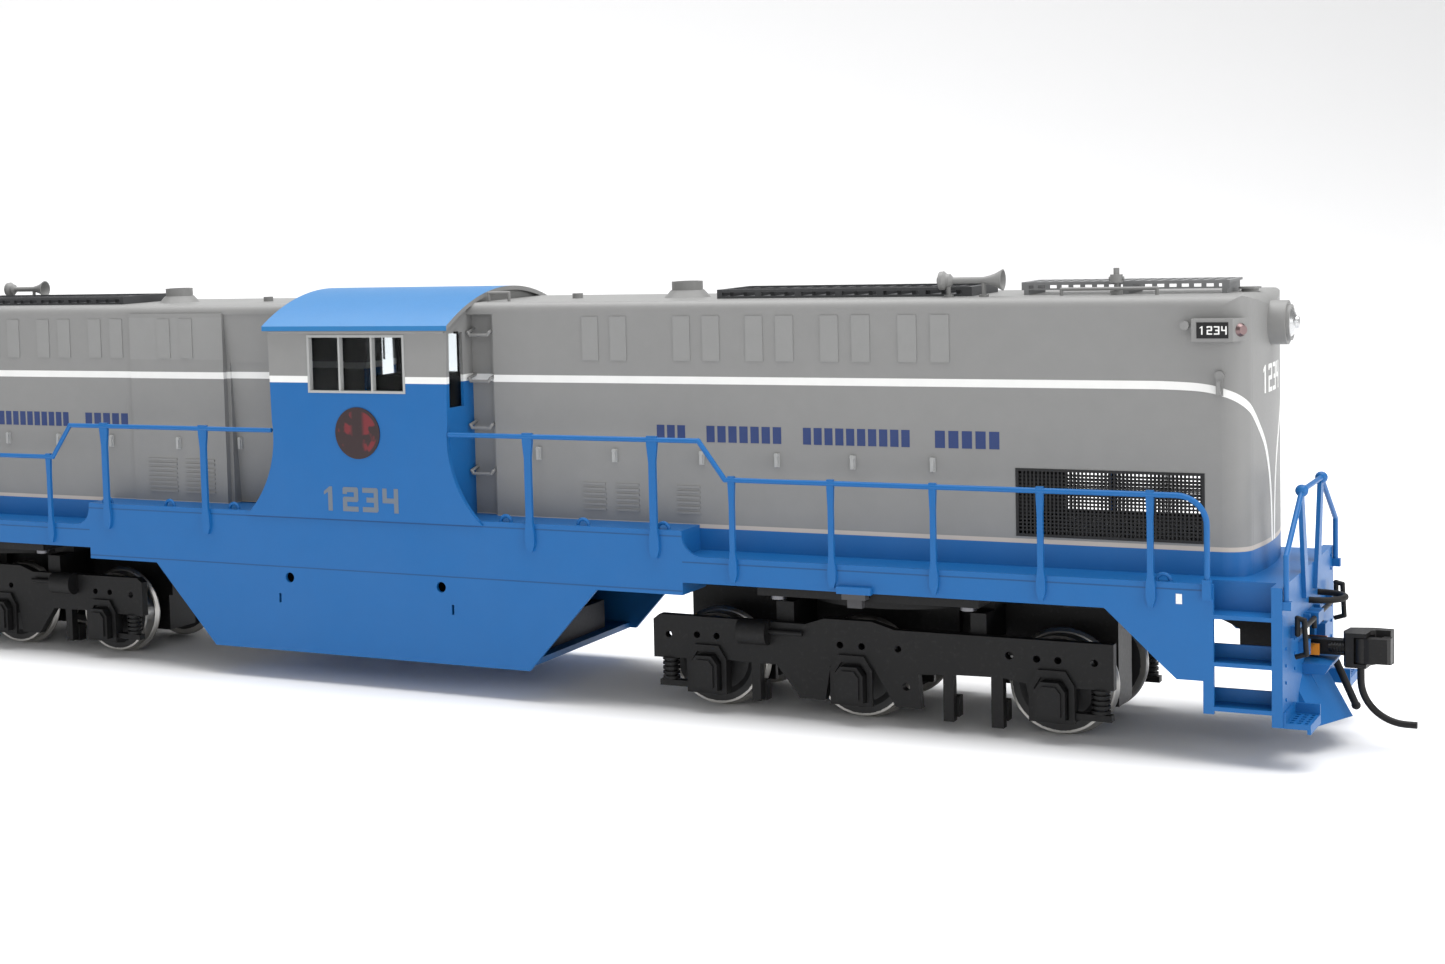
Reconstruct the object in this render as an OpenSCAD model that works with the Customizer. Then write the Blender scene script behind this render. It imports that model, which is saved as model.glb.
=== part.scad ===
// Model diesel locomotive with a centre cab and two engine hoods, HO scale.
// Millimetres. +X is the front end, +Y the left side, +Z up.
// The origin lies on the track level under the cab, midway between the ends.
// The rear end is the front end turned half a turn about Z.

/* [Body] */
// Half width over the side sills
sill_half_w = 17.7; // [17.4:0.1:18]
// Half width of the engine hoods
hood_half_w = 11.6; // [11.2:0.1:12]
// Height of the hood roof above the flange bottoms
hood_top = 55; // [54.5:0.1:55.5]
// Height of the low walkways
low_deck = 21.6; // [21.4:0.1:21.8]
// Height of the raised walkway beside the cab
high_deck = 25; // [24.8:0.1:25.2]

/* [Running gear] */
// Diameter of the wheel treads
wheel_d = 12.24; // [12:0.02:12.4]
// Depth of the wheel flanges
flange_h = 0.63; // [0.55:0.01:0.7]
// Distance between the inner faces of two wheels
back_to_back = 14.4; // [14.3:0.05:14.5]
// Running clearance of each shaft in its bearing, on the radius
run_fit = 0.05; // [0.03:0.01:0.08]

/* [View] */
// Node to build, or all

/* [Hidden] */
$fn = 64;
round_fn = 96;
small_fn = 24;
// Ball at a wire's bend, as a multiple of the wire's radius
bend_ball = 1.05;
e = 0.01;

// Side elevation, half lengths from the cab centre
high_half = 49.4;
tank_top_half = 36.8;
tank_low_half = 26.3;
deck_end = 123.4;
pilot_t = 0.6;
high_sill_low = 16.4;
low_sill_low = 18.1;
tank_low = 4.5;
sheet = 0.6;
deck_t = 0.8;
deck_hole_half = 9.9;
beam_in = 12.2;
beam_out = 16.8;
beam_low = 18.4;
// Corner steps
step_in = 115.2;
step_rail = 1.2;
step_out = 123;
step_back = 13.9;
step_low = 5.25;
step_levels = [7.05, 12.35, 17.95];
apron_knee = [110.6, 11.6];
apron_low = 10.1;
apron_start = 103.9;
gusset_r = 2.7;
// Hoods
hood_wall = 0.8;
hood_start = 14.6;
nose_x = 119.9;
nose_corner_r = 3;
nose_bulge_r = 60;
// How far the nose bulge laps over each corner radius
corner_blend = 0.22;
lamp_angle = 36.4;
roof_edge_r = 1.3;
grille_x = [91.8, 114.3];
grille_z = [25.4, 33.9];
door_xs = [36, 49.5, 59.8, 70.1, 80.4];
latch_xs = [25.6, 37.2, 50, 60.6, 70.9, 81.4];
latch_z = 34;
// Cab
cab_half = 14.6;
end_wall_t = 0.4;
cab_side = 18;
cab_side_t = 0.8;
cab_eave = 51.8;
cab_flare_r = 16;
cab_flare_z = 36.2;
cab_foot = 24.4;
roof_r = 39.6;
roof_apex = 56.9;
roof_half_len = 15.4;
roof_half_w = 18.7;
roof_t = 0.6;
window_half = 8.1;
window_z = [42.6, 50.9];
end_window_y = [12.9, 17];
end_window_z = [40.6, 51];
cab_floor_z = 30;
// Handrails
post_high_xs = [27.1, 45.6];
post_low_xs = [56.7, 70.1, 83.3, 96.5, 109.4];
rail_high = 37;
rail_low = 32;
rail_r = 0.34;
rail_bend = 3.4;
rail_y = 17.95;
// Trucks
truck_x = 74;
axle_xs = [50.9, 70.9, 96.5];
flange_r = wheel_d / 2 + flange_h;
axle_z = flange_r;
axle_r = 1.2;
stub_r = 0.75;
frame_in = 12;
frame_t = 1.4;
ring_r = 12;
ring_wall = 2;
truck_plate_z = 15.4;
ring_low = 16.4;
ring_top = 18.1;
bolster_low = 16.9;
// Drive
shaft_z = 20.5;
worm_z = 13.2;
shaft_r = 0.8;
worm_r = 1.6;
beam_half = 3.4;
beam_cavity = 2.6;
gear_drop = 5.6;
gearbox_end = 102.1;
axle_gear_r = 4.5;
transfer_x = 80;
transfer_r = 3.5;
ball_r = 1.3;
cup_r = 2.7;
cup_bore = 1.8;
cup_face = 26.9;
// Couplers
coupler_pivot = 119.2;
knuckle_pivot = [130, -1.3];
trip_r = 0.42;
// Plough rake and width, pilot footboards
plough_low = 3.5;
plough_rake = 27.4;
plough_half = 7.3;
foot_reach = 3;

// ---------- helpers ----------

// Box from its low corner to its high corner.
module span(lo, hi) {
    translate(lo)
        cube(hi - lo);
}

// Box between two X values, symmetrical about Y = 0.
module bar_x(x0, x1, half_y, z0, z1) {
    span([x0, -half_y, z0], [x1, half_y, z1]);
}

// The same piece at the front and, half a turn round, at the rear.
module both_ends() {
    children();
    rotate([0, 0, 180])
        children();
}

// The same piece on the left and mirrored on the right.
module both_sides() {
    children();
    mirror([0, 1, 0])
        children();
}

// Side outline in X and Z, drawn flat and made thick from Y = y0 to y1.
module side_sheet(y0, y1) {
    translate([0, y1, 0])
        rotate([90, 0, 0])
            linear_extrude(height = y1 - y0)
                children();
}

// Outline in Y and Z, made thick from X = x0 to x1.
module end_sheet(x0, x1) {
    translate([x0, 0, 0])
        rotate([90, 0, 90])
            linear_extrude(height = x1 - x0)
                children();
}

// Outline in X and Y, made thick from Z = z0 to z1.
module flat_sheet(z0, z1) {
    translate([0, 0, z0])
        linear_extrude(height = z1 - z0)
            children();
}

// Round bar along X, Y or Z.
module rod_x(x0, x1, y, z, r) {
    translate([x0, y, z])
        rotate([0, 90, 0])
            cylinder(h = x1 - x0, r = r);
}

module rod_y(y0, y1, x, z, r) {
    translate([x, y1, z])
        rotate([90, 0, 0])
            cylinder(h = y1 - y0, r = r);
}

module rod_z(z0, z1, x, y, r) {
    translate([x, y, z0])
        cylinder(h = z1 - z0, r = r);
}

// Straight round wire between two points.
module wire(a, b, r) {
    d = b - a;
    len = norm(d);
    translate(a)
        rotate([0, acos(d[2] / len), atan2(d[1], d[0])])
            cylinder(h = len, r = r, $fn = small_fn);
}

// Bent wire: straight lengths with a small ball at each bend.
module wire_path(points, r) {
    for (i = [0 : len(points) - 2])
        wire(points[i], points[i + 1], r);
    for (i = [1 : len(points) - 2])
        translate(points[i])
            sphere(r = r * bend_ball, $fn = round_fn);
}

// Quarter bend of round wire in the XZ plane, centre at the origin.
module bend_xz(bend_r, r) {
    rotate([90, 0, 0])
        rotate_extrude(angle = 90)
            translate([bend_r, 0])
                circle(r = r, $fn = small_fn);
}

// ---------- walkway, sills and tank skirt ----------

module sill_outline() {
    difference() {
        polygon([[-e, tank_low], [tank_low_half, tank_low],
            [tank_top_half, high_sill_low], [high_half, high_sill_low],
            [high_half, low_sill_low], [apron_start, low_sill_low],
            apron_knee, [112.2, apron_low], [step_in, apron_low],
            [step_in, low_deck], [high_half + gusset_r, low_deck],
            [high_half + gusset_r, low_deck + gusset_r],
            [high_half, low_deck + gusset_r], [high_half, high_deck],
            [-e, high_deck]]);
        translate([high_half + gusset_r, low_deck + gusset_r])
            circle(r = gusset_r);
    }
}

module sill_side() {
    difference() {
        side_sheet(sill_half_w - sheet, sill_half_w)
            sill_outline();
        // Round service hole and slot in the tank side
        rod_y(sill_half_w - 1, sill_half_w + 1, 12.7, 15.4, 0.75);
        span([14.3, sill_half_w - 1, 11.6], [14.7, sill_half_w + 1, 13]);
    }
}

module deck_half() {
    // Raised deck, low deck and the end face between them
    difference() {
        union() {
            bar_x(-e, high_half, sill_half_w - sheet, high_deck - deck_t, high_deck);
            bar_x(high_half - sheet, high_half, sill_half_w - sheet, high_sill_low, high_deck);
            bar_x(high_half - e, deck_end, sill_half_w - sheet, low_deck - deck_t, low_deck);
        }
        bar_x(-1, nose_x - 4, deck_hole_half, high_sill_low - 1, high_deck + 1);
        both_sides() {
            span([step_in, step_back, low_deck - 2], [deck_end + 1, sill_half_w, low_deck + 1]);
            // Notch over the side beam
            span([high_half - 1, beam_in, beam_low], [high_half + 1, beam_out, low_deck - deck_t]);
        }
    }
}

module walkway() {
    color([0.14, 0.38, 0.68])
        both_ends() {
            both_sides()
                sill_side();
            deck_half();
            // Tank floor
            bar_x(-e, tank_low_half - 1, sill_half_w - sheet, tank_low, tank_low + 0.8);
        }
}

module step_well() {
    // Stringer, end post, treads with risers, and the back of the well
    span([step_in, step_back, step_low + 1], [step_in + 0.5, sill_half_w, low_deck]);
    span([step_in, sill_half_w - sheet, step_low + 1], [step_in + step_rail, sill_half_w, low_deck]);
    span([step_out - 0.2, step_back, step_low], [step_out + 0.4, sill_half_w, low_deck]);
    for (z = step_levels) {
        span([step_in, step_back, z - 0.35], [step_out, sill_half_w - 0.1, z + 0.1]);
        span([step_in, sill_half_w - 0.4, z - 0.4], [step_out, sill_half_w, z + 0.1]);
        span([step_in, step_back, z], [step_out, step_back + 0.4, z + 1.7]);
    }
    span([step_in, step_back, step_levels[2]], [step_out, step_back + 0.4, low_deck]);
}

module step_wells() {
    color([0.14, 0.38, 0.68])
        both_ends()
            both_sides()
                step_well();
}

// ---------- pilots ----------

module plough() {
    // Raked V plate under a short shelf, with two webs behind it
    shelf_half = 5;
    back = deck_end + pilot_t;
    intersection() {
        translate([128.9, 0, plough_low])
            rotate([0, -plough_rake, 0])
                flat_sheet(-4, 10)
                    polygon([[0, 0], [-2.6, 7.7], [-3.3, 7.7], [-0.7, 0], [-3.3, -7.7], [-2.6, -7.7]]);
        bar_x(back, 129, plough_half, plough_low, 9.5);
    }
    side_sheet(-shelf_half, shelf_half)
        polygon([[back, 9.3], [126.5, 9.3], [127.2, 10.5], [back, 10.5]]);
    both_sides()
        side_sheet(3, 3.5)
            polygon([[back, step_low], [126.6, step_low], [124.6, 9.4], [back, 9.4]]);
}

module footboard() {
    front = deck_end + pilot_t + foot_reach;
    difference() {
        span([deck_end + pilot_t, 10.8, 5.2], [front, 17.5, 5.8]);
        for (i = [0 : 2], j = [0 : 4])
            span([124.5 + 0.85 * i, 11.7 + 1.17 * j, 5], [125 + 0.85 * i, 12.3 + 1.17 * j, 6]);
    }
    span([deck_end + pilot_t, 10.8, 5.8], [124.3, 17.5, 7]);
    span([deck_end + pilot_t, 10.8, 5.8], [front, 11.2, 7]);
    span([front - 0.4, 10.8, 4.7], [front, 17.5, 5.8]);
}

module pilot() {
    difference() {
        bar_x(deck_end, deck_end + pilot_t, sill_half_w, step_low, low_deck);
        // Coupler pocket
        bar_x(deck_end - 1, deck_end + 1, 3.6, 10.5, 14.4);
    }
    plough();
    both_sides()
        footboard();
    // Sockets and brackets on the pilot face
    both_sides() {
        span([deck_end + pilot_t, 11.7, 14.9], [124.7, 12.5, 16.3]);
        span([deck_end + pilot_t, 3.3, 14.9], [124.7, 3.9, 16.3]);
        span([deck_end + pilot_t, 5.2, 11.8], [125, 7.6, 13.6]);
    }
    span([deck_end + pilot_t, -2, 14.8], [125.4, 1.6, 16.2]);
    // Rivets
    both_sides()
        for (z = [8.2, 10.2, 12.2, 14.2, 18.9, 20.6])
            rod_x(deck_end + pilot_t, deck_end + pilot_t + 0.15, 15.7, z, 0.2);
    both_sides()
        for (z = [10.9, 12.7, 14.5])
            rod_x(deck_end + pilot_t, deck_end + pilot_t + 0.15, 10.2, z, 0.2);
}

module pilot_front() {
    color([0.14, 0.38, 0.68])
        pilot();
}

module pilot_rear() {
    color([0.14, 0.38, 0.68])
        rotate([0, 0, 180])
            pilot();
}

// ---------- underframe ----------

module underframe_half() {
    difference() {
        union() {
            // Side beams
            both_sides() {
                span([-e, beam_in, beam_low], [114.8, beam_out, low_deck - deck_t]);
                span([-e, beam_in, 10.4], [20, beam_in + 1, beam_low]);
            }
            // Truck bolster plate
            bar_x(59.5, 88.5, beam_out, bolster_low, beam_low);
            // Cross beam at the end, and the coupler pad
            bar_x(109, 114.8, beam_out, beam_low, low_deck - deck_t);
            bar_x(114.8, deck_end, step_back - 0.1, beam_low, low_deck - deck_t);
            side_sheet(-3.4, 3.4)
                polygon([[113.4, beam_low], [113.4, 15.2], [114.6, 14.9], [116.6, 14], [122, 14],
                    [122, beam_low]]);
            // Motor cradle
            bar_x(-e, 20, beam_in + 1, 9.4, 10.4);
            bar_x(-e, 13, 7.6, 10.4, 13.4);
        }
        rod_z(bolster_low - 1, beam_low + 1, truck_x, 0, ring_r + run_fit);
    }
}

module underframe() {
    color([0.06, 0.06, 0.065])
        both_ends()
            underframe_half();
}

module ballast_weight() {
    color([0.2, 0.2, 0.21])
        bar_x(-23.5, 23.5, 12.2, tank_low + 0.8, 9.4);
}

module fixing_screws() {
    color([0.35, 0.35, 0.37])
        both_ends() {
            // Body screws up through the bolster plate, and tank side screws
            for (x = [61.5, 86.5], y = [-14.5, 14.5]) {
                rod_z(bolster_low - 0.7, bolster_low, x, y, 1);
            }
            both_sides()
                rod_y(13.2, 15.2, 12.7, 15.4, 0.6);
        }
}

// ---------- hoods ----------

module hood_plan(half_w, end_x, corner_r, start_x) {
    // The rounded nose: a slightly bulged face between two round corners
    bulge_x = end_x - nose_bulge_r;
    corner_y = half_w - corner_r;
    corner_x = bulge_x + sqrt(pow(nose_bulge_r - corner_r, 2) - pow(corner_y, 2));
    translate([start_x, -half_w])
        square([corner_x - start_x, 2 * half_w]);
    for (s = [-1, 1])
        translate([corner_x, s * corner_y])
            circle(r = corner_r);
    intersection() {
        translate([bulge_x, 0])
            circle(r = nose_bulge_r, $fn = 180);
        translate([start_x, -corner_y - corner_blend])
            square([end_x - start_x, 2 * (corner_y + corner_blend)]);
    }
}

module hood_section(half_w, top, edge_r, base) {
    translate([-half_w, base])
        square([2 * half_w, top - edge_r - base]);
    translate([-half_w + edge_r, base])
        square([2 * (half_w - edge_r), top - base]);
    for (s = [-1, 1])
        translate([s * (half_w - edge_r), top - edge_r])
            circle(r = edge_r);
}

module hood_profile(end_x, top, edge_r, base, start_x) {
    translate([start_x, base])
        square([end_x - start_x, top - edge_r - base]);
    translate([start_x, base])
        square([end_x - edge_r - start_x, top - base]);
    translate([end_x - edge_r, top - edge_r])
        circle(r = edge_r);
}

module hood_solid(inset, start_x, base) {
    w = hood_half_w - inset;
    top = hood_top - inset;
    end_x = nose_x - inset;
    edge = roof_edge_r - inset / 2;
    intersection() {
        flat_sheet(base, top)
            hood_plan(w, end_x, nose_corner_r - inset, start_x);
        end_sheet(start_x, end_x)
            hood_section(w, top, edge, base);
        side_sheet(-w, w)
            hood_profile(end_x, top, edge + 0.5, base, start_x);
    }
}

module door_pair(x) {
    for (dx = [-2.1, 2.1])
        span([x + dx - 1.2, hood_half_w - e, 47], [x + dx + 1.2, hood_half_w + 0.12, 53]);
}

module louvres(x0, z0, width, rows) {
    for (i = [0 : rows - 1])
        span([x0, hood_half_w - e, z0 + 0.7 * i], [x0 + width, hood_half_w + 0.15, z0 + 0.3 + 0.7 * i]);
}

module hood() {
    difference() {
        union() {
            hood_solid(0, hood_start, low_deck);
            // Raised engine-room panel on the left side
            span([27.2, hood_half_w - e, high_deck], [44.6, hood_half_w + 0.3, hood_top - 1.2]);
        }
        hood_solid(hood_wall, hood_start - 1, low_deck - 1);
        // The raised deck's inner end
        bar_x(hood_start - 1, high_half, hood_half_w + 1, low_deck - 1, high_deck);
        // Narrow corner beside the cab on the right
        span([hood_start - 1, -hood_half_w - 1, low_deck], [18.8, -hood_half_w + 1.6, hood_top - 1.6]);
        // Tapered recess beside the cab on the left
        end_sheet(hood_start - 1, 27.2)
            polygon([[hood_half_w + 1, high_deck - 1], [hood_half_w - 2.6, high_deck - 1],
                [hood_half_w - 0.2, hood_top - 1.4], [hood_half_w + 1, hood_top - 1.4]]);
        // Clear of the cab roof's overhang
        end_sheet(hood_start - 1, roof_half_len)
            difference() {
                translate([-hood_half_w - 1, hood_top - 4])
                    square([2 * hood_half_w + 2, 6]);
                translate([0, roof_apex - roof_r])
                    circle(r = roof_r - roof_t, $fn = 180);
            }
        // Air grille openings
        span([grille_x[0], -hood_half_w - 1, grille_z[0]], [grille_x[1], hood_half_w + 1, grille_z[1]]);
    }
    // Inner skins that close the two narrow corners
    span([hood_start, -hood_half_w + 1.6, high_deck], [18.8, -hood_half_w + 2.2, hood_top - 1.6]);
    span([18.2, -hood_half_w + 0.7, high_deck], [18.8, -hood_half_w + 2.2, hood_top - 1.6]);
    end_sheet(hood_start, 27.2)
        polygon([[hood_half_w - 2.5, high_deck], [hood_half_w - 0.3, hood_top - 1.4],
            [hood_half_w - 0.9, hood_top - 1.4], [hood_half_w - 3.1, high_deck]]);
    span([26.6, hood_half_w - 3.1, high_deck], [27.2, hood_half_w - 0.7, hood_top - 1.4]);
    // Door panels and louvres
    for (x = door_xs)
        mirror([0, 1, 0])
            door_pair(x);
    for (x = [49.5, 59.8, 70.1, 80.4])
        door_pair(x);
    translate([0, 0.3, 0])
        door_pair(36);
    for (x = [32.3, 37.3, 46.2])
        mirror([0, 1, 0])
            louvres(x, 26.4, 3.4, 6);
    for (x = [29.4, 36.4])
        translate([0, 0.3, 0])
            louvres(x, 26.4, 5.4, 8);
}

module hood_front() {
    color([0.52, 0.525, 0.53])
        hood();
}

module hood_rear() {
    color([0.52, 0.525, 0.53])
        rotate([0, 0, 180])
            hood();
}

module latch(x, y) {
    span([x - 0.35, y, latch_z - 0.9], [x + 0.35, y + 0.25, latch_z + 0.9]);
    span([x - 0.2, y + 0.25, latch_z - 0.8], [x + 0.2, y + 0.6, latch_z + 0.5]);
    rod_y(y + 0.25, y + 0.5, x, latch_z + 0.65, 0.3, $fn = small_fn);
}

module hood_latches() {
    color([0.6, 0.6, 0.6])
        both_ends() {
            for (x = latch_xs)
                mirror([0, 1, 0])
                    latch(x, hood_half_w);
            for (x = [49, 59.5, 69.8, 80.2])
                latch(x, hood_half_w);
            latch(35.9, hood_half_w + 0.3);
            latch(25.9, hood_half_w - 1.8);
        }
}

module grille() {
    y0 = hood_half_w - 0.7;
    difference() {
        span([grille_x[0], y0, grille_z[0]], [grille_x[1], hood_half_w + 0.1, grille_z[1]]);
        for (i = [0 : 13], j = [0 : 4]) {
            x = grille_x[0] + 0.6 + 1.53 * i;
            z = grille_z[0] + 0.5 + 1.53 * j;
            span([x, y0 - 1, z], [x + 1.2, hood_half_w + 1, z + 1.2]);
        }
    }
}

module side_grilles() {
    color([0.04, 0.04, 0.045])
        both_ends()
            both_sides()
                grille();
}

// ---------- roof fittings ----------

module radiator() {
    difference() {
        bar_x(50.2, 84.9, 5.8, hood_top, hood_top + 1.2);
        bar_x(50.9, 84.2, 5.1, hood_top + 0.3, hood_top + 2);
        // Slots along the two long sides
        for (i = [0 : 5])
            bar_x(50.9 + 5.6 * i, 55.6 + 5.6 * i, 8, hood_top + 0.3, hood_top + 0.8);
    }
    for (i = [0 : 16])
        bar_x(51.8 + 1.93 * i, 52.3 + 1.93 * i, 5.1, hood_top + 0.3, hood_top + 1);
    bar_x(50.9, 84.2, 0.3, hood_top + 0.3, hood_top + 1.1);
}

module radiators() {
    color([0.16, 0.16, 0.17])
        both_ends()
            radiator();
}

module exhaust_stacks() {
    color([0.45, 0.45, 0.46])
        both_ends()
            difference() {
                union() {
                    translate([43.4, 0, hood_top])
                        cylinder(h = 1, r1 = 3.2, r2 = 2.3);
                    rod_z(hood_top + 1, hood_top + 2.2, 43.4, 0, 2.15);
                }
                rod_z(hood_top + 0.4, hood_top + 3, 43.4, 0, 1.75);
            }
}

module horn() {
    horn_z = hood_top + 2.1;
    translate([79, 0, horn_z])
        rotate([0, 90, 0])
            rotate_extrude()
                polygon([[0, -0.3], [0.5, -0.3], [0.5, 0], [1.15, 0], [1.2, 0.5], [0.85, 0.9],
                    [0.85, 1.3], [0.42, 1.7], [0.42, 5.6], [0.62, 6.4], [0.9, 7.2], [1.35, 8],
                    [1.2, 8.05], [0.7, 7.2], [0, 6.4]]);
    for (x = [80.1, 84.6]) {
        rod_z(hood_top + 0.3, horn_z - 0.2, x, 0, 0.28, $fn = small_fn);
        rod_z(hood_top, hood_top + 0.3, x, 0, 0.6, $fn = small_fn);
    }
}

module horns() {
    color([0.55, 0.55, 0.55])
        for (place = [[2.4, -7.6, 0], [-163.8, 7.6, 0]])
            translate(place)
                horn();
}

module roof_fitting_set() {
    // Stub vent near the cab, round hatch near the nose
    rod_z(hood_top, hood_top + 0.7, 26.5, 0, 0.75);
    rod_z(hood_top, hood_top + 0.35, 117.4, 0, 1);
    rod_z(hood_top + 0.35, hood_top + 0.6, 117.4, 0, 1.3);
    // Relief valve on its post
    valve_x = 102.8;
    valve_y = -5.4;
    rod_z(hood_top, hood_top + 0.5, valve_x, valve_y, 0.75);
    rod_z(hood_top + 0.5, hood_top + 2.2, valve_x, valve_y, 0.3);
    rod_z(hood_top + 1.5, hood_top + 2.5, valve_x, valve_y, 0.75);
    rod_z(hood_top + 2.5, hood_top + 3.3, valve_x, valve_y, 0.35);
    rod_x(valve_x - 0.9, valve_x + 0.9, valve_y, hood_top + 2, 0.25);
}

module roof_fittings() {
    color([0.55, 0.55, 0.55])
        both_ends()
            roof_fitting_set();
}

module running_board() {
    board_z = hood_top + 1.3;
    difference() {
        span([90.7, -3.9, board_z], [115.8, 3.9, board_z + 0.3]);
        for (i = [0 : 17], j = [0 : 3])
            span([91.4 + 1.35 * i, -3.2 + 1.72 * j, board_z - 1],
                [92.3 + 1.35 * i, -2 + 1.72 * j, board_z + 1]);
    }
    difference() {
        span([90.7, -3.9, board_z - 0.7], [115.8, -3.6, board_z]);
        for (i = [0 : 16])
            span([91.3 + 1.45 * i, -5, board_z - 0.5], [92.2 + 1.45 * i, -3, board_z - 0.1]);
    }
    for (x = [91, 103.2, 114.9])
        span([x, -3.9, hood_top], [x + 0.6, 3.9, board_z]);
}

module running_boards() {
    color([0.4, 0.4, 0.41])
        both_ends()
            running_board();
}

// ---------- cab ----------

module cab_side_outline() {
    difference() {
        polygon([[-20, cab_foot], [20, cab_foot], [20, cab_flare_z], [cab_half, cab_flare_z],
            [cab_half + 0.3, cab_eave], [-cab_half - 0.3, cab_eave],
            [-cab_half, cab_flare_z], [-20, cab_flare_z]]);
        for (s = [-1, 1])
            translate([s * (cab_half - 0.1 + cab_flare_r), cab_flare_z])
                circle(r = cab_flare_r, $fn = 128);
        translate([-window_half, window_z[0]])
            square([2 * window_half, window_z[1] - window_z[0]]);
    }
}

module cab_end_outline(half_w) {
    // Under the arched roof
    intersection() {
        translate([-half_w, high_deck])
            square([2 * half_w, 40]);
        translate([0, roof_apex - roof_r])
            circle(r = roof_r - roof_t, $fn = 180);
    }
}

module cab_end() {
    difference() {
        end_sheet(cab_half - end_wall_t, cab_half)
            cab_end_outline(cab_side - cab_side_t);
        // Doorway into the hood
        bar_x(cab_half - 2, cab_half + 1, hood_half_w - 3.4, high_deck - 1, hood_top - 2);
        both_sides()
            span([cab_half - 2, end_window_y[0], end_window_z[0]],
                [cab_half + 1, end_window_y[1], end_window_z[1]]);
    }
}

module cab_body() {
    color([0.14, 0.38, 0.68]) {
        both_sides()
            difference() {
                side_sheet(cab_side - cab_side_t, cab_side)
                    cab_side_outline();
                // The skirt laps over the sill
                span([-21, sill_half_w - sheet - 1, cab_foot - 1], [21, sill_half_w, high_deck]);
            }
        both_ends()
            cab_end();
    }
}

module cab_roof() {
    color([0.14, 0.38, 0.68])
        end_sheet(-roof_half_len, roof_half_len)
            intersection() {
                difference() {
                    translate([0, roof_apex - roof_r])
                        circle(r = roof_r, $fn = 180);
                    translate([0, roof_apex - roof_r])
                        circle(r = roof_r - roof_t, $fn = 180);
                }
                translate([-roof_half_w, 40])
                    square([2 * roof_half_w, 20]);
            }
}

module window_frames() {
    y0 = cab_side - cab_side_t;
    pane_pitch = (2 * window_half - 0.55) / 3;
    color([0.5, 0.5, 0.505])
        both_sides() {
            side_sheet(y0, cab_side + 0.1)
                difference() {
                    translate([-window_half, window_z[0]])
                        square([2 * window_half, window_z[1] - window_z[0]]);
                    for (i = [0 : 2])
                        translate([-window_half + 0.5 + pane_pitch * i, window_z[0] + 0.5])
                            square([pane_pitch - 0.45, window_z[1] - window_z[0] - 1]);
                }
        }
}

module cab_glass() {
    color([0.75, 0.82, 0.86, 0.35]) {
        both_sides()
            span([-window_half - 0.4, cab_side - cab_side_t - 0.3, window_z[0] - 0.4],
                [window_half + 0.4, cab_side - cab_side_t, window_z[1] + 0.4]);
        both_ends()
            both_sides()
                span([cab_half - end_wall_t - 0.3, end_window_y[0] - 0.3, end_window_z[0] - 0.3],
                    [cab_half - end_wall_t, end_window_y[1] + 0.2, end_window_z[1] + 0.3]);
    }
}

module seat(x, y) {
    rod_z(cab_floor_z + 0.6, cab_floor_z + 4, x, y, 0.5);
    span([x - 1.9, y - 1.9, cab_floor_z + 4], [x + 1.9, y + 1.9, cab_floor_z + 5]);
    span([x - 1.9, y - 1.9, cab_floor_z + 5], [x - 1.2, y + 1.9, cab_floor_z + 9.6]);
}

module cab_interior() {
    color([0.2, 0.22, 0.22]) {
        bar_x(-cab_half + end_wall_t, cab_half - end_wall_t, cab_side - cab_side_t, cab_floor_z,
            cab_floor_z + 0.6);
        both_ends() {
            // Control stand and seat
            span([7.6, -16.4, cab_floor_z + 0.6], [10.6, -11.8, cab_floor_z + 11]);
            span([6.8, -16.6, cab_floor_z + 11], [11.4, -11.4, cab_floor_z + 12]);
            seat(2.2, -13.2);
            // Electrical cabinet in the middle
            span([-e, -4.5, cab_floor_z + 0.6], [5, 4.5, cab_floor_z + 14]);
        }
    }
}

module wipers() {
    color([0.05, 0.05, 0.05])
        both_ends()
            both_sides() {
                span([cab_half, 14.6, 50.9], [cab_half + 0.4, 15.3, 51.2]);
                span([cab_half + 0.15, 14.5, 45], [cab_half + 0.4, 14.75, 50.9]);
            }
}

module emblem_discs() {
    color([0.1, 0.03, 0.04])
        both_sides()
            rod_y(cab_side, cab_side + 0.15, 0, 36.9, 3.7);
}

// ---------- lamps and number boards ----------

module nose_light() {
    // Round headlight housing with its stepped ring
    difference() {
        union() {
            rod_x(nose_x - 0.1, 121.8, 0, 51.2, 2.7);
            rod_x(121.8, 122.2, 0, 51.2, 2.2);
        }
        rod_x(121.4, 123, 0, 51.2, 1.8);
        rod_x(nose_x - 1, 121.5, 0, 51.2, 0.4);
    }
}

module number_box() {
    y0 = hood_half_w;
    difference() {
        flat_sheet(49.7, 52.4)
            polygon([[113.2, y0], [113.2, y0 + 1.5], [117.9, y0 + 1.5], [119.3, y0 - 0.4],
                [118.7, y0 - 1], [116.4, y0]]);
        // Recess for the number plate
        span([113.8, y0 + 1.2, 50.1], [117.4, y0 + 2, 52]);
    }
    // Small lamp bracket beside the box
    rod_y(y0, y0 + 0.9, 112.4, 51.6, 0.32);
    rod_y(y0 + 0.9, y0 + 1.4, 112.4, 51.6, 0.5);
}

module nose_lights() {
    color([0.56, 0.56, 0.56])
        both_ends() {
            nose_light();
            both_sides()
                number_box();
        }
}

module headlight_lenses() {
    color([0.9, 0.93, 0.95, 0.4])
        both_ends()
            translate([121.5, 0, 51.2])
                rotate([0, 90, 0])
                    rotate_extrude()
                        polygon([[0, 0], [1.8, 0], [1.8, 0.6], [1.3, 1], [0.8, 1.2], [0.7, 1.5], [0, 1.6]]);
}

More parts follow.
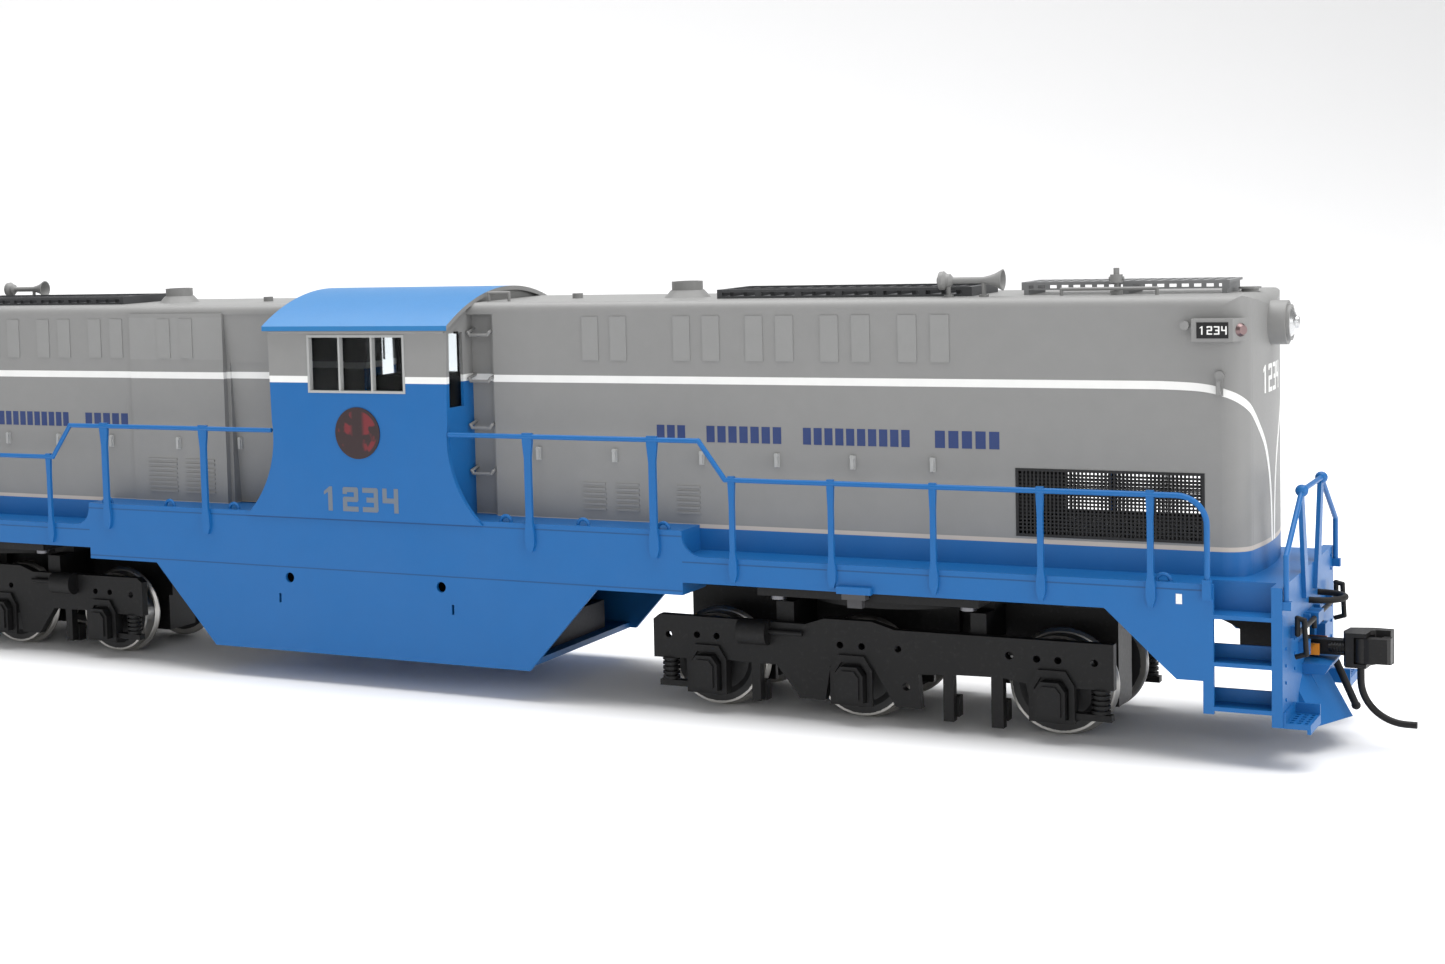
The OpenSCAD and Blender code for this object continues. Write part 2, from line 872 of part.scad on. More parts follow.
module number_plates() {
    color([0.05, 0.05, 0.05])
        both_ends()
            both_sides()
                span([113.8, hood_half_w + 1.2, 50.1], [117.4, hood_half_w + 1.55, 52]);
}

module marker_lenses() {
    color([0.5, 0.12, 0.12, 0.6])
        both_ends()
            both_sides()
                translate([118.6, hood_half_w + 0.55, 51.05])
                    rotate([0, 90, lamp_angle])
                        cylinder(h = 0.45, r1 = 0.8, r2 = 0.55);
}

// ---------- wire fittings ----------

module rung(x0, x1, y0, reach, z) {
    // Grab iron: two legs and a drop rung
    y1 = y0 - reach;
    wire_path([[x0, y0, z + 0.8], [x0, y1, z + 0.4], [x0 + 0.3, y1, z], [x1 - 0.3, y1, z],
        [x1, y1, z + 0.4], [x1, y0, z + 0.8]], 0.22);
}

module grab_irons() {
    color([0.58, 0.58, 0.58])
        both_ends() {
            for (z = [30.9, 37.4, 44, 50.5])
                rung(15, 18.4, -hood_half_w + 1.6, 1.9, z);
            // Roof grab beside the cab, and the grab on the running board side
            wire_path([[16.2, -7.5, hood_top], [16.2, -7.5, hood_top + 1.2], [19.4, -7.5, hood_top + 1.2],
                [19.4, -7.5, hood_top]], 0.22);
            wire_path([[96.4, -6.6, hood_top], [96.4, -6.6, hood_top + 0.8], [107.9, -6.6, hood_top + 0.8],
                [107.9, -6.6, hood_top]], 0.22);
        }
}

module lift_hook() {
    // Ring plate and hook at the hood corner
    rod_y(hood_half_w, hood_half_w + 0.3, 116.1, 45.6, 0.55, $fn = small_fn);
    span([115.7, hood_half_w, 43.2], [116.5, hood_half_w + 0.3, 45.4]);
    span([115.9, hood_half_w + 0.3, 43.4], [116.3, hood_half_w + 1, 43.8]);
    span([115.9, hood_half_w + 0.7, 43.8], [116.3, hood_half_w + 1, 45]);
}

module lift_hooks() {
    color([0.58, 0.58, 0.58])
        both_ends()
            both_sides()
                lift_hook();
}

module deck_ring(x, z) {
    translate([x, sill_half_w - 1, z])
        rotate([90, 0, 0])
            rotate_extrude(angle = 180)
                translate([0.8, 0])
                    circle(r = 0.25, $fn = small_fn);
}

module walkway_fittings() {
    color([0.14, 0.38, 0.68])
        both_ends()
            both_sides() {
                for (x = [22.8, 34.6, 46.4])
                    deck_ring(x, high_deck);
                deck_ring(110.6, low_deck);
                // Jack pad and its stepped block
                span([70.8, sill_half_w, 18], [75.3, sill_half_w + 0.8, 18.9]);
                span([71.5, 17, 17.3], [74.6, sill_half_w + 0.8, 18]);
                span([72.1, 17, 16.2], [74, sill_half_w + 0.4, 17.3]);
            }
}

// ---------- handrails ----------

module post(x, foot_z, top_z, top_w, mid_w, foot_w) {
    side_sheet(sill_half_w, sill_half_w + 0.5)
        polygon([[x - foot_w / 2 + 0.3, foot_z], [x + foot_w / 2 - 0.3, foot_z],
            [x + foot_w / 2, foot_z + 1], [x + foot_w / 2, foot_z + 2.4],
            [x + mid_w / 2, foot_z + 4], [x + mid_w / 2, top_z - 3], [x + top_w / 2, top_z - 0.6],
            [x + top_w / 2, top_z + 0.5], [x - top_w / 2, top_z + 0.5], [x - top_w / 2, top_z - 0.6],
            [x - mid_w / 2, top_z - 3], [x - mid_w / 2, foot_z + 4], [x - foot_w / 2, foot_z + 2.4],
            [x - foot_w / 2, foot_z + 1]]);
}

module rail_end() {
    for (x = post_high_xs)
        post(x, 21.2, rail_high, 1.5, 1, 1.4);
    for (x = post_low_xs)
        post(x, 18.6, rail_low, 0.9, 0.7, 1.1);
    wire_path([[cab_half + 0.2, rail_y, rail_high], [52.2, rail_y, rail_high], [55.8, rail_y, rail_low],
        [step_in + 0.6 - rail_bend, rail_y, rail_low]], rail_r);
    translate([step_in + 0.6 - rail_bend, rail_y, rail_low - rail_bend])
        bend_xz(rail_bend, rail_r);
    rod_z(low_deck, rail_low - rail_bend, step_in + 0.6, rail_y, rail_r, $fn = small_fn);
    span([step_in + 0.1, sill_half_w, low_deck - 1.8], [step_in + 1.1, rail_y + 0.5, low_deck + 0.6]);
}

module rail_left() {
    color([0.14, 0.38, 0.68]) {
        rail_end();
        mirror([1, 0, 0])
            rail_end();
    }
}

module rail_right() {
    color([0.14, 0.38, 0.68])
        mirror([0, 1, 0]) {
            rail_end();
            mirror([1, 0, 0])
                rail_end();
        }
}

module end_rail() {
    x = deck_end + pilot_t + 0.35;
    both_sides() {
        // Leaning post with a ball top
        translate([deck_end + pilot_t, 0, 0])
            rotate([90, 0, 90])
                linear_extrude(height = 0.5)
                    polygon([[2.6, 18.4], [4.9, 18.4], [7.6, 31], [6, 31.4]]);
        translate([x, 6.8, 31.6])
            sphere(r = 0.75);
        wire_path([[x, 6.8, 31.6], [x, 17.1, 25.2], [x, 17.1, 19.4]], 0.32);
        span([deck_end + pilot_t, 16.6, 19], [x + 0.6, 17.6, 20]);
    }
    wire([x, -6.8, 31.6], [x, 6.8, 31.6], 0.32);
}

module end_rails() {
    color([0.14, 0.38, 0.68])
        both_ends()
            end_rail();
}

module cut_lever() {
    x = 124.95;
    wire_path([[x, 2.4, 14.4], [x, 2.4, 15.6], [x, 13.6, 15.6], [x, 13.6, 17.5], [125.7, 13.6, 17.3],
        [125.9, 13.6, 13.3], [124.7, 13.6, 12.9]], 0.3);
}

module cut_levers() {
    color([0.04, 0.04, 0.04])
        both_ends()
            both_sides()
                cut_lever();
}

module train_hose_set() {
    // Looped jumper hose: two short legs and a half ring
    loop_r = 3.1;
    loop_at = [124.5, 3.05, 17.4];
    for (y = [-loop_r, loop_r])
        rod_x(deck_end + pilot_t, loop_at[0], loop_at[1] + y, loop_at[2], 0.38);
    translate(loop_at)
        rotate([0, 0, -90])
            rotate_extrude(angle = 180)
                translate([loop_r, 0])
                    circle(r = 0.38);
    // Brake hose, hanging forward beside the coupler, with its round gland
    hose_top = [125.3, 5.8, 10.9];
    hose_end = [128.4, 5.8, 3.6];
    rod_x(deck_end + pilot_t, hose_top[0], hose_top[1], hose_top[2], 0.48);
    translate(hose_top)
        sphere(r = 0.6);
    wire(hose_top, hose_end, 0.45);
    translate(hose_end)
        sphere(r = 0.55);
}

module train_hoses() {
    color([0.05, 0.05, 0.05])
        both_ends()
            train_hose_set();
}

// ---------- couplers ----------

module coupler_box() {
    difference() {
        bar_x(116.6, 123.2, 3.4, 9.9, 14);
        bar_x(117.2, 124, 2.8, 10.7, 13.2);
        // Cut away under the back wall
        bar_x(116, 117.7, 4, 9, 12);
    }
    rod_z(10.7, 13.2, coupler_pivot, 0, 0.8 - run_fit);
}

module coupler_boxes() {
    color([0.05, 0.05, 0.055])
        both_ends()
            coupler_box();
}

module centring_springs() {
    // Bronze leaf springs on both walls of the box
    color([0.75, 0.42, 0.14])
        both_ends()
            both_sides()
                span([119.6, 2.5, 11.2], [125.6, 2.8, 12.6]);
}

module coupler() {
    difference() {
        union() {
            rod_z(11, 12.8, coupler_pivot, 0, 1.7);
            span([coupler_pivot, -0.9, 11], [128.6, 0.9, 12.8]);
            flat_sheet(9.8, 14)
                polygon([[128, -0.9], [128.4, -2.3], [130.7, -2.3], [130.9, 0.2], [131.4, 0.9],
                    [133, 1], [133.2, 2.4], [131, 2.6], [128.4, 1.8]]);
        }
        rod_z(10, 14, coupler_pivot, 0, 0.8);
        // Space for the knuckle, and the lower bearing for its pin
        rod_z(10.3, 13.5, knuckle_pivot[0], knuckle_pivot[1], 1.2);
        span([knuckle_pivot[0], -2.6, 10.3], [134, 0.75, 13.5]);
        rod_z(9, 10.4, knuckle_pivot[0], knuckle_pivot[1], trip_r + run_fit);
    }
    rod_z(11.6, 13.5, knuckle_pivot[0], knuckle_pivot[1], 0.4);
    // Spring on the side of the shank
    for (i = [0 : 4])
        rod_x(126.7 + 0.32 * i, 126.9 + 0.32 * i, -1.4, 12, 0.6, $fn = small_fn);
    rod_x(126.4, 128.3, -1.4, 12, 0.42, $fn = small_fn);
    span([126.5, -1.5, 11.8], [126.7, -0.8, 12.2]);
}

module coupler_front() {
    color([0.045, 0.045, 0.045])
        coupler();
}

module coupler_rear() {
    color([0.045, 0.045, 0.045])
        rotate([0, 0, 180])
            coupler();
}

module knuckle() {
    difference() {
        flat_sheet(10.4, 13.4)
            union() {
                translate(knuckle_pivot)
                    circle(r = 0.95);
                polygon([[130, -2.1], [131, -2.2], [133, -2], [133.3, -1.4], [133.3, 0.3], [132.4, 0.4],
                    [132.2, -0.6], [130, -0.5]]);
            }
        rod_z(11.5, 14, knuckle_pivot[0], knuckle_pivot[1], 0.4 + run_fit);
    }
    // Trip pin: the lower pivot, bent forward under the knuckle
    bend_r = 5.05;
    rod_z(8.3, 10.6, knuckle_pivot[0], knuckle_pivot[1], trip_r);
    translate([knuckle_pivot[0] + bend_r, knuckle_pivot[1], 8.3])
        rotate([0, 180, 0])
            bend_xz(bend_r, trip_r);
    rod_x(knuckle_pivot[0] + bend_r, 136.2, knuckle_pivot[1], 8.3 - bend_r, trip_r);
}

module knuckle_front() {
    color([0.045, 0.045, 0.045])
        knuckle();
}

module knuckle_rear() {
    color([0.045, 0.045, 0.045])
        rotate([0, 0, 180])
            knuckle();
}

// ---------- motor and shafts ----------

module motor_can() {
    color([0.42, 0.43, 0.44])
        difference() {
            intersection() {
                rod_x(-13, 13, 0, shaft_z, 8.6);
                bar_x(-13, 13, 8.6, 13.4, 27.6);
            }
            rod_x(-14, 14, 0, shaft_z, 1);
        }
}

module cup(x0, x1) {
    // Cross-slotted cup, open towards x1
    difference() {
        rod_x(x0, x1, 0, shaft_z, cup_r);
        rod_x(x0 + 0.8, x1 + 1, 0, shaft_z, cup_bore);
        span([x0 + 0.8, -3, shaft_z - 0.8], [x1 + 1, 3, shaft_z + 0.8]);
    }
}

module rotor() {
    color([0.62, 0.5, 0.25])
        both_ends() {
            rod_x(-e, 15, 0, shaft_z, 1 - run_fit);
            rod_x(15, 22.9, 0, shaft_z, 6.2);
            cup(22.9, cup_face);
        }
}

module drive_shaft() {
    x0 = 25.2;
    rod_x(x0, truck_x, 0, shaft_z, shaft_r);
    for (x = [x0, truck_x]) {
        translate([x, 0, shaft_z])
            sphere(r = ball_r);
        rod_y(-2.1, 2.1, x, shaft_z, 0.4, $fn = small_fn);
    }
}

module drive_shaft_front() {
    color([0.55, 0.55, 0.56])
        drive_shaft();
}

module drive_shaft_rear() {
    color([0.55, 0.55, 0.56])
        rotate([0, 0, 180])
            drive_shaft();
}

module cup_shaft() {
    // Cup open towards the cab, shaft and transfer gear
    mirror([1, 0, 0])
        translate([-76.3, 0, 0])
            cup(0, 4.1);
    rod_x(76.3, 82.4, 0, shaft_z, shaft_r);
    rod_x(transfer_x - 0.9, transfer_x + 0.9, 0, shaft_z, transfer_r);
}

module cup_shaft_front() {
    color([0.62, 0.5, 0.25])
        cup_shaft();
}

module cup_shaft_rear() {
    color([0.62, 0.5, 0.25])
        rotate([0, 0, 180])
            cup_shaft();
}

module worm_shaft() {
    rod_x(45, gearbox_end - 0.2, 0, worm_z, shaft_r);
    for (x = axle_xs)
        rod_x(x - 3, x + 3, 0, worm_z, worm_r);
    rod_x(transfer_x - 0.9, transfer_x + 0.9, 0, worm_z, transfer_r);
}

module worm_shaft_front() {
    color([0.55, 0.55, 0.56])
        worm_shaft();
}

module worm_shaft_rear() {
    color([0.55, 0.55, 0.56])
        rotate([0, 0, 180])
            worm_shaft();
}

// ---------- trucks ----------

module frame_outline() {
    difference() {
        polygon([[43.1, 7], [43.1, 12.2], [44, 12.9], [64.6, 12.8], [67.2, 13.7], [73.6, 13.7],
            [76.6, 12.8], [103.9, 12.8], [103.9, 7.1], [99.4, 7.1], [99.2, 2.9], [93.8, 2.9],
            [93.4, 7.2], [90.4, 7.7], [90.4, 1.3], [88.9, 1.3], [88.9, 7.7], [84.1, 7.6],
            [84.1, 1.6], [82.8, 1.6], [82.8, 7.5], [79.6, 7.3], [79.9, 2.9], [76.6, 2.9],
            [73.8, 7.6], [68, 7.6], [67.2, 3], [63.8, 3], [60.6, 7.2], [58.3, 7.2], [58.3, 2.2],
            [57.1, 2.2], [57.1, 7.2], [53.7, 7.3], [53.6, 2.7], [48.2, 2.7], [48.1, 7.1]]);
        translate([45.3, 10.2])
            circle(r = 0.45);
        translate([91.2, 10.6])
            circle(r = 0.5);
        translate([78, 5.6])
            circle(r = 0.5);
        for (x = [49.4, 52.2, 56, 69.3, 72.2, 77, 94.6, 97.2, 101.6])
            translate([x, 10.4])
                circle(r = 0.45);
    }
}

module journal_box(x) {
    // Pedestal ring and box with a lid, outside the frame
    y0 = frame_in + frame_t;
    side_sheet(y0, y0 + 0.5)
        difference() {
            polygon([[x - 2.8, 2.7], [x + 2.8, 2.7], [x + 2.8, 7.4], [x + 1.7, 9.2], [x - 1.7, 9.2],
                [x - 2.8, 7.4]]);
            polygon([[x - 2.1, 3.2], [x + 2.1, 3.2], [x + 2.1, 7], [x + 1.3, 8.3], [x - 1.3, 8.3],
                [x - 2.1, 7]]);
        }
    side_sheet(y0, y0 + 1.6)
        polygon([[x - 1.9, 3.3], [x + 1.9, 3.3], [x + 1.9, 6.8], [x + 1.1, 7.9], [x - 1.1, 7.9],
            [x - 1.9, 6.8]]);
    side_sheet(y0 + 1.6, y0 + 1.9)
        polygon([[x - 1.4, 3.7], [x + 1.4, 3.7], [x + 1.4, 6.6], [x + 0.8, 7.4], [x - 0.8, 7.4],
            [x - 1.4, 6.6]]);
}

module coil_stack(x, y, z0, z1) {
    rod_z(z0, z1, x, y, 0.8, $fn = small_fn);
    turns = 5;
    pitch = (z1 - z0) / turns;
    for (i = [0 : turns - 1])
        rod_z(z0 + pitch * i + 0.15, z0 + pitch * i + 0.5, x, y, 1.15, $fn = small_fn);
}

module truck_side() {
    y0 = frame_in + frame_t;
    difference() {
        side_sheet(frame_in, y0)
            frame_outline();
        // Blind bearing holes for the axle ends
        for (x = axle_xs)
            rod_y(frame_in - 1, frame_in + 1, x, axle_z, stub_r + run_fit);
    }
    for (x = axle_xs)
        journal_box(x);
    // Brake cylinder with its piston rod
    rod_x(55.8, 59.8, y0 + 0.6, 11.5, 1.7);
    rod_x(59.8, 64.4, y0 + 0.5, 11.6, 0.35, $fn = small_fn);
    // Coil spring stacks and their seats
    for (x = [45.3, 102.2]) {
        coil_stack(x, frame_in + 0.7, 4, 7.2);
        span([x - 1.4, frame_in, 3.2], [x + 1.4, y0, 4]);
    }
    span([46.7, frame_in, 3.2], [48.4, y0, 4]);
    span([99, frame_in, 3.2], [100.8, y0, 4]);
    // Brake shoes beside the hangers
    for (x = [57.7, 83.5, 89.7])
        span([x - 0.9, frame_in - 1.6, 2], [x + 0.9, frame_in, 4.6]);
}

module truck() {
    both_sides()
        truck_side();
    difference() {
        union() {
            // Transoms, top plate and the centre ring
            for (x = [[60.2, 62.6], [86, 88]])
                bar_x(x[0], x[1], frame_in, 11.4, truck_plate_z);
            bar_x(60.2, 88, 8.4, truck_plate_z, ring_low);
            rod_z(truck_plate_z, ring_low, truck_x, 0, ring_r + 1);
            rod_z(ring_low, ring_top, truck_x, 0, ring_r);
        }
        rod_z(truck_plate_z - 1, ring_top + 1, truck_x, 0, ring_r - ring_wall);
        bar_x(59, 89, beam_half, 11, truck_plate_z + e);
    }
}

module truck_front() {
    color([0.05, 0.05, 0.052])
        truck();
}

module truck_rear() {
    color([0.05, 0.05, 0.052])
        rotate([0, 0, 180])
            truck();
}

module gearbox() {
    difference() {
        union() {
            // Beam with the worm shaft, drop cases round the gears, tower for the upper shaft
            bar_x(44.6, gearbox_end, beam_half, 8.6, truck_plate_z);
            for (x = axle_xs)
                bar_x(x - gear_drop, x + gear_drop, beam_half, 3, 9);
            bar_x(77.2, 82.4, 4.9, 8.6, 24.6);
        }
        bar_x(46.2, gearbox_end - 0.8, beam_cavity, 1, worm_z + 2);
        bar_x(78.4, 81.4, 4, 1, 24.1);
        rod_x(44, 104, 0, worm_z, shaft_r + run_fit);
        rod_x(77, 84, 0, shaft_z, shaft_r + run_fit);
        // Slots that drop over the axles
        for (x = axle_xs) {
            rod_y(-6, 6, x, axle_z, axle_r + run_fit);
            span([x - 0.9, -6, 2], [x + 0.9, 6, axle_z - axle_r]);
        }
    }
}

module gearbox_front() {
    color([0.08, 0.08, 0.085])
        gearbox();
}

module gearbox_rear() {
    color([0.08, 0.08, 0.085])
        rotate([0, 0, 180])
            gearbox();
}

module wheelset(x) {
    b = back_to_back / 2;
    t = wheel_d / 2;
    translate([x, 0, axle_z])
        rotate([90, 0, 0]) {
            rotate_extrude($fn = round_fn)
                polygon([[0, -12.8], [stub_r, -12.8], [stub_r, -10.9], [1.6, -10.9], [1.6, -9.9],
                    [4.3, -9.7], [5, -10.1], [t, -10.1], [t + 0.06, -8.1], [t + 0.25, -8], [flange_r, -7.7],
                    [flange_r, -7.5], [flange_r - 0.2, -b], [2.2, -b], [2.2, -6.2], [axle_r, -6.2],
                    [axle_r, 6.2], [2.2, 6.2], [2.2, b], [flange_r - 0.2, b], [flange_r, 7.5],
                    [flange_r, 7.7], [t + 0.25, 8], [t + 0.06, 8.1], [t, 10.1], [5, 10.1],
                    [4.3, 9.7], [1.6, 9.9], [1.6, 10.9], [stub_r, 10.9], [stub_r, 12.8], [0, 12.8]]);
            // Axle gear
            translate([0, 0, -1.2])
                cylinder(h = 2.4, r = axle_gear_r);
        }
}

module wheelset_f1() {
    color([0.5, 0.5, 0.5])
        wheelset(axle_xs[0]);
}

module wheelset_f2() {
    color([0.5, 0.5, 0.5])
        wheelset(axle_xs[1]);
}

module wheelset_f3() {
    color([0.5, 0.5, 0.5])
        wheelset(axle_xs[2]);
}

module wheelset_r1() {
    color([0.5, 0.5, 0.5])
        wheelset(-axle_xs[0]);
}

module wheelset_r2() {
    color([0.5, 0.5, 0.5])
        wheelset(-axle_xs[1]);
}

module wheelset_r3() {
    color([0.5, 0.5, 0.5])
        wheelset(-axle_xs[2]);
}

// ---------- nodes ----------

underframe();
walkway();
step_wells();
pilot_front();
pilot_rear();
hood_front();
hood_rear();
hood_latches();
side_grilles();
radiators();
exhaust_stacks();
horns();
roof_fittings();
running_boards();
cab_body();
cab_roof();
window_frames();
cab_glass();
cab_interior();
wipers();
emblem_discs();
nose_lights();
headlight_lenses();
number_plates();
marker_lenses();
grab_irons();
lift_hooks();
walkway_fittings();
rail_left();
rail_right();
end_rails();
cut_levers();
train_hoses();
coupler_boxes();
centring_springs();
motor_can();
ballast_weight();
fixing_screws();
rotor();
drive_shaft_front();
drive_shaft_rear();
truck_front();
truck_rear();
gearbox_front();
gearbox_rear();
cup_shaft_front();
cup_shaft_rear();
worm_shaft_front();
worm_shaft_rear();
wheelset_f1();
wheelset_f2();
wheelset_f3();
wheelset_r1();
wheelset_r2();
wheelset_r3();
coupler_front();
coupler_rear();
knuckle_front();
knuckle_rear();
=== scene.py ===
"""Looks for the model diesel locomotive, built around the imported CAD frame. Metres, +X front, +Z up."""
import math

import bmesh
import bpy
from mathutils import Matrix, Vector


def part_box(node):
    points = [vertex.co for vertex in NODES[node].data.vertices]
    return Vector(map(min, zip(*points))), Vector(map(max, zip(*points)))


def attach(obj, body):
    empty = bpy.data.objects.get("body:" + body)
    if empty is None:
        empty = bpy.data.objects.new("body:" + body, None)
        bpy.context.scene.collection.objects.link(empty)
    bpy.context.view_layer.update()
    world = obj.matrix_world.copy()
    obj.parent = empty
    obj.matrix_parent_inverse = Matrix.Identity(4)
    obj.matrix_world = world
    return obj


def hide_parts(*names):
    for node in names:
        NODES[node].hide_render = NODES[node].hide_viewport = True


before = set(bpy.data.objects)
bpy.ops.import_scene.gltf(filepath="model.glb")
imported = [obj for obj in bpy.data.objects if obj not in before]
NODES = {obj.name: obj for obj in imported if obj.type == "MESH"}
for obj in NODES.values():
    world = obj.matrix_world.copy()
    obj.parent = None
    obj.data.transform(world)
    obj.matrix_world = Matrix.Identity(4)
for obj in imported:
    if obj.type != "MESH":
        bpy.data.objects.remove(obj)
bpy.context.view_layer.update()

MM = 0.001
HAIR = 0.00002
BODY = "locomotive_body"

# Levels and lengths that the pieces share, in millimetres
HOOD_HALF = 11.6
HOOD_INNER = 10.95
HOOD_INNER_X = (28.0, 118.0)
HOOD_INNER_TOP = 54.3
DOOR_FACE_Y = 11.66
DOOR_Z = (46.8, 53.2)
STRIPE_BEND_X = 109.0
SILL_FACE_Y = 17.65
SILL_OUTER_Y = 17.7
HIGH_DECK_END = 49.4
DECK_LINES = (24.25, 16.95)
LOW_DECK_LINE = 20.85
CAB_SIDE_Y = 18.0
CAB_INNER = (14.15, 17.3)
CAB_LINE_Z = (44.05, 45.0)
AXLE_Z = 6.75
RIM_R = (5.78, 5.86)
EMBLEM_Z = 36.9
NOSE_X = 119.9
NOSE_R = 60.0
CORNER_R = 3.0
STRIPE_Z = 44.4
STRIPE_HALF = 0.5
BAND_TOP = 25.1
DECAL = 0.03


# ---------- materials ----------

def srgb(r, g, b):
    """Linear colour from 0-255 display values."""
    scaled = [v / 255 for v in (r, g, b)]
    return tuple(((v + 0.055) / 1.055) ** 2.4 if v > 10 / 255 else v / 12.92 for v in scaled) + (1.0,)


class Tree:
    """A material's node tree with short calls for the nodes used here."""

    def __init__(self, name):
        self.mat = bpy.data.materials.new(name)
        self.mat.use_nodes = True
        self.t = self.mat.node_tree
        self.shader = self.t.nodes["Principled BSDF"]
        self.coord = self.t.nodes.new("ShaderNodeTexCoord").outputs["Object"]
        self._xyz = None

    def node(self, kind, **values):
        n = self.t.nodes.new(kind)
        for key, value in values.items():
            setattr(n, key, value)
        return n

    def link(self, a, b):
        if isinstance(a, (int, float, tuple)):
            b.default_value = a
        else:
            self.t.links.new(a, b)

    def set(self, socket, value):
        self.link(value, self.shader.inputs[socket])

    def axis(self, letter):
        if self._xyz is None:
            self._xyz = self.node("ShaderNodeSeparateXYZ")
            self.link(self.coord, self._xyz.inputs[0])
        return self._xyz.outputs[letter]

    def math(self, op, a, b=0.0, c=0.0, clamp=False):
        n = self.node("ShaderNodeMath", operation=op, use_clamp=clamp)
        for socket, value in zip(n.inputs, (a, b, c)):
            self.link(value, socket)
        return n.outputs[0]

    def step(self, value, low, high):
        """0 below low, 1 above high, smooth between."""
        n = self.node("ShaderNodeMapRange", interpolation_type="SMOOTHSTEP")
        self.link(value, n.inputs["Value"])
        self.link(low, n.inputs["From Min"])
        self.link(high, n.inputs["From Max"])
        return n.outputs["Result"]

    def within(self, value, limits):
        """1 between two limits in millimetres, 0 outside."""
        low, high = limits
        rise = self.step(value, low * MM, low * MM + HAIR)
        fall = self.math("SUBTRACT", 1.0, self.step(value, high * MM, high * MM + HAIR))
        return self.math("MULTIPLY", rise, fall)

    def noise(self, scale, detail=3.0, rough=0.5, vector=None):
        n = self.node("ShaderNodeTexNoise")
        self.link(vector or self.coord, n.inputs["Vector"])
        self.link(scale, n.inputs["Scale"])
        self.link(detail, n.inputs["Detail"])
        self.link(rough, n.inputs["Roughness"])
        return n.outputs["Fac"]

    def mix(self, factor, a, b):
        n = self.node("ShaderNodeMix", data_type="RGBA")
        self.link(factor, n.inputs[0])
        self.link(a, n.inputs[6])
        self.link(b, n.inputs[7])
        return n.outputs[2]

    def spread(self, value, low, high):
        """Maps 0-1 to low-high."""
        n = self.node("ShaderNodeMapRange")
        self.link(value, n.inputs["Value"])
        self.link(low, n.inputs["To Min"])
        self.link(high, n.inputs["To Max"])
        return n.outputs["Result"]

    def stretch(self, sx, sy, sz):
        n = self.node("ShaderNodeMapping")
        self.link(self.coord, n.inputs["Vector"])
        n.inputs["Scale"].default_value = (sx, sy, sz)
        return n.outputs["Vector"]

    def bump(self, height, strength, distance):
        n = self.node("ShaderNodeBump")
        self.link(height, n.inputs["Height"])
        n.inputs["Strength"].default_value = strength
        n.inputs["Distance"].default_value = distance
        self.link(n.outputs["Normal"], self.shader.inputs["Normal"])


def paint_surface(t, colour, rough=0.42, grain=0.35, wear=0.015):
    """Sprayed model paint over a colour: mottling, fine dust, orange peel and uneven gloss."""
    broad = t.noise(90.0, 4.0, 0.55)
    fine = t.noise(2600.0, 3.0, 0.6)
    dust = t.noise(7000.0, 2.0, 0.7)
    shade = t.mix(t.spread(broad, 0.0, wear), colour, (0.9, 0.9, 0.9, 1.0))
    speck = t.step(dust, 0.68, 0.74)
    shade = t.mix(t.math("MULTIPLY", speck, 0.04), shade, (0.82, 0.82, 0.8, 1.0))
    soot = t.mix(t.spread(t.noise(340.0, 5.0, 0.6), 0.0, 0.10), shade, (0.02, 0.02, 0.022, 1.0))
    t.set("Base Color", soot)
    uneven = t.math("ADD", t.spread(fine, rough - 0.05, rough + 0.05), t.spread(broad, -0.05, 0.05))
    t.set("Roughness", uneven)
    height = t.math("ADD", t.math("MULTIPLY", fine, 0.7), t.math("MULTIPLY", dust, 0.3))
    t.bump(height, grain, 0.00003)
    t.shader.inputs["Specular IOR Level"].default_value = 0.3
    return t.mat


BLUE = srgb(1, 93, 158)
# Roof blue, lighter than the body blue: a painted highlight on the roof.
ROOF_BLUE_PAINTED_HIGHLIGHT = srgb(30, 112, 170)
GREY = srgb(132, 132, 131)
WHITE = srgb(230, 230, 228)
NAVY = srgb(26, 50, 102)
TAN = srgb(184, 175, 166)


def plain_paint(name, colour, rough=0.42, grain=0.35, wear=0.015):
    return paint_surface(Tree(name), colour, rough, grain, wear)


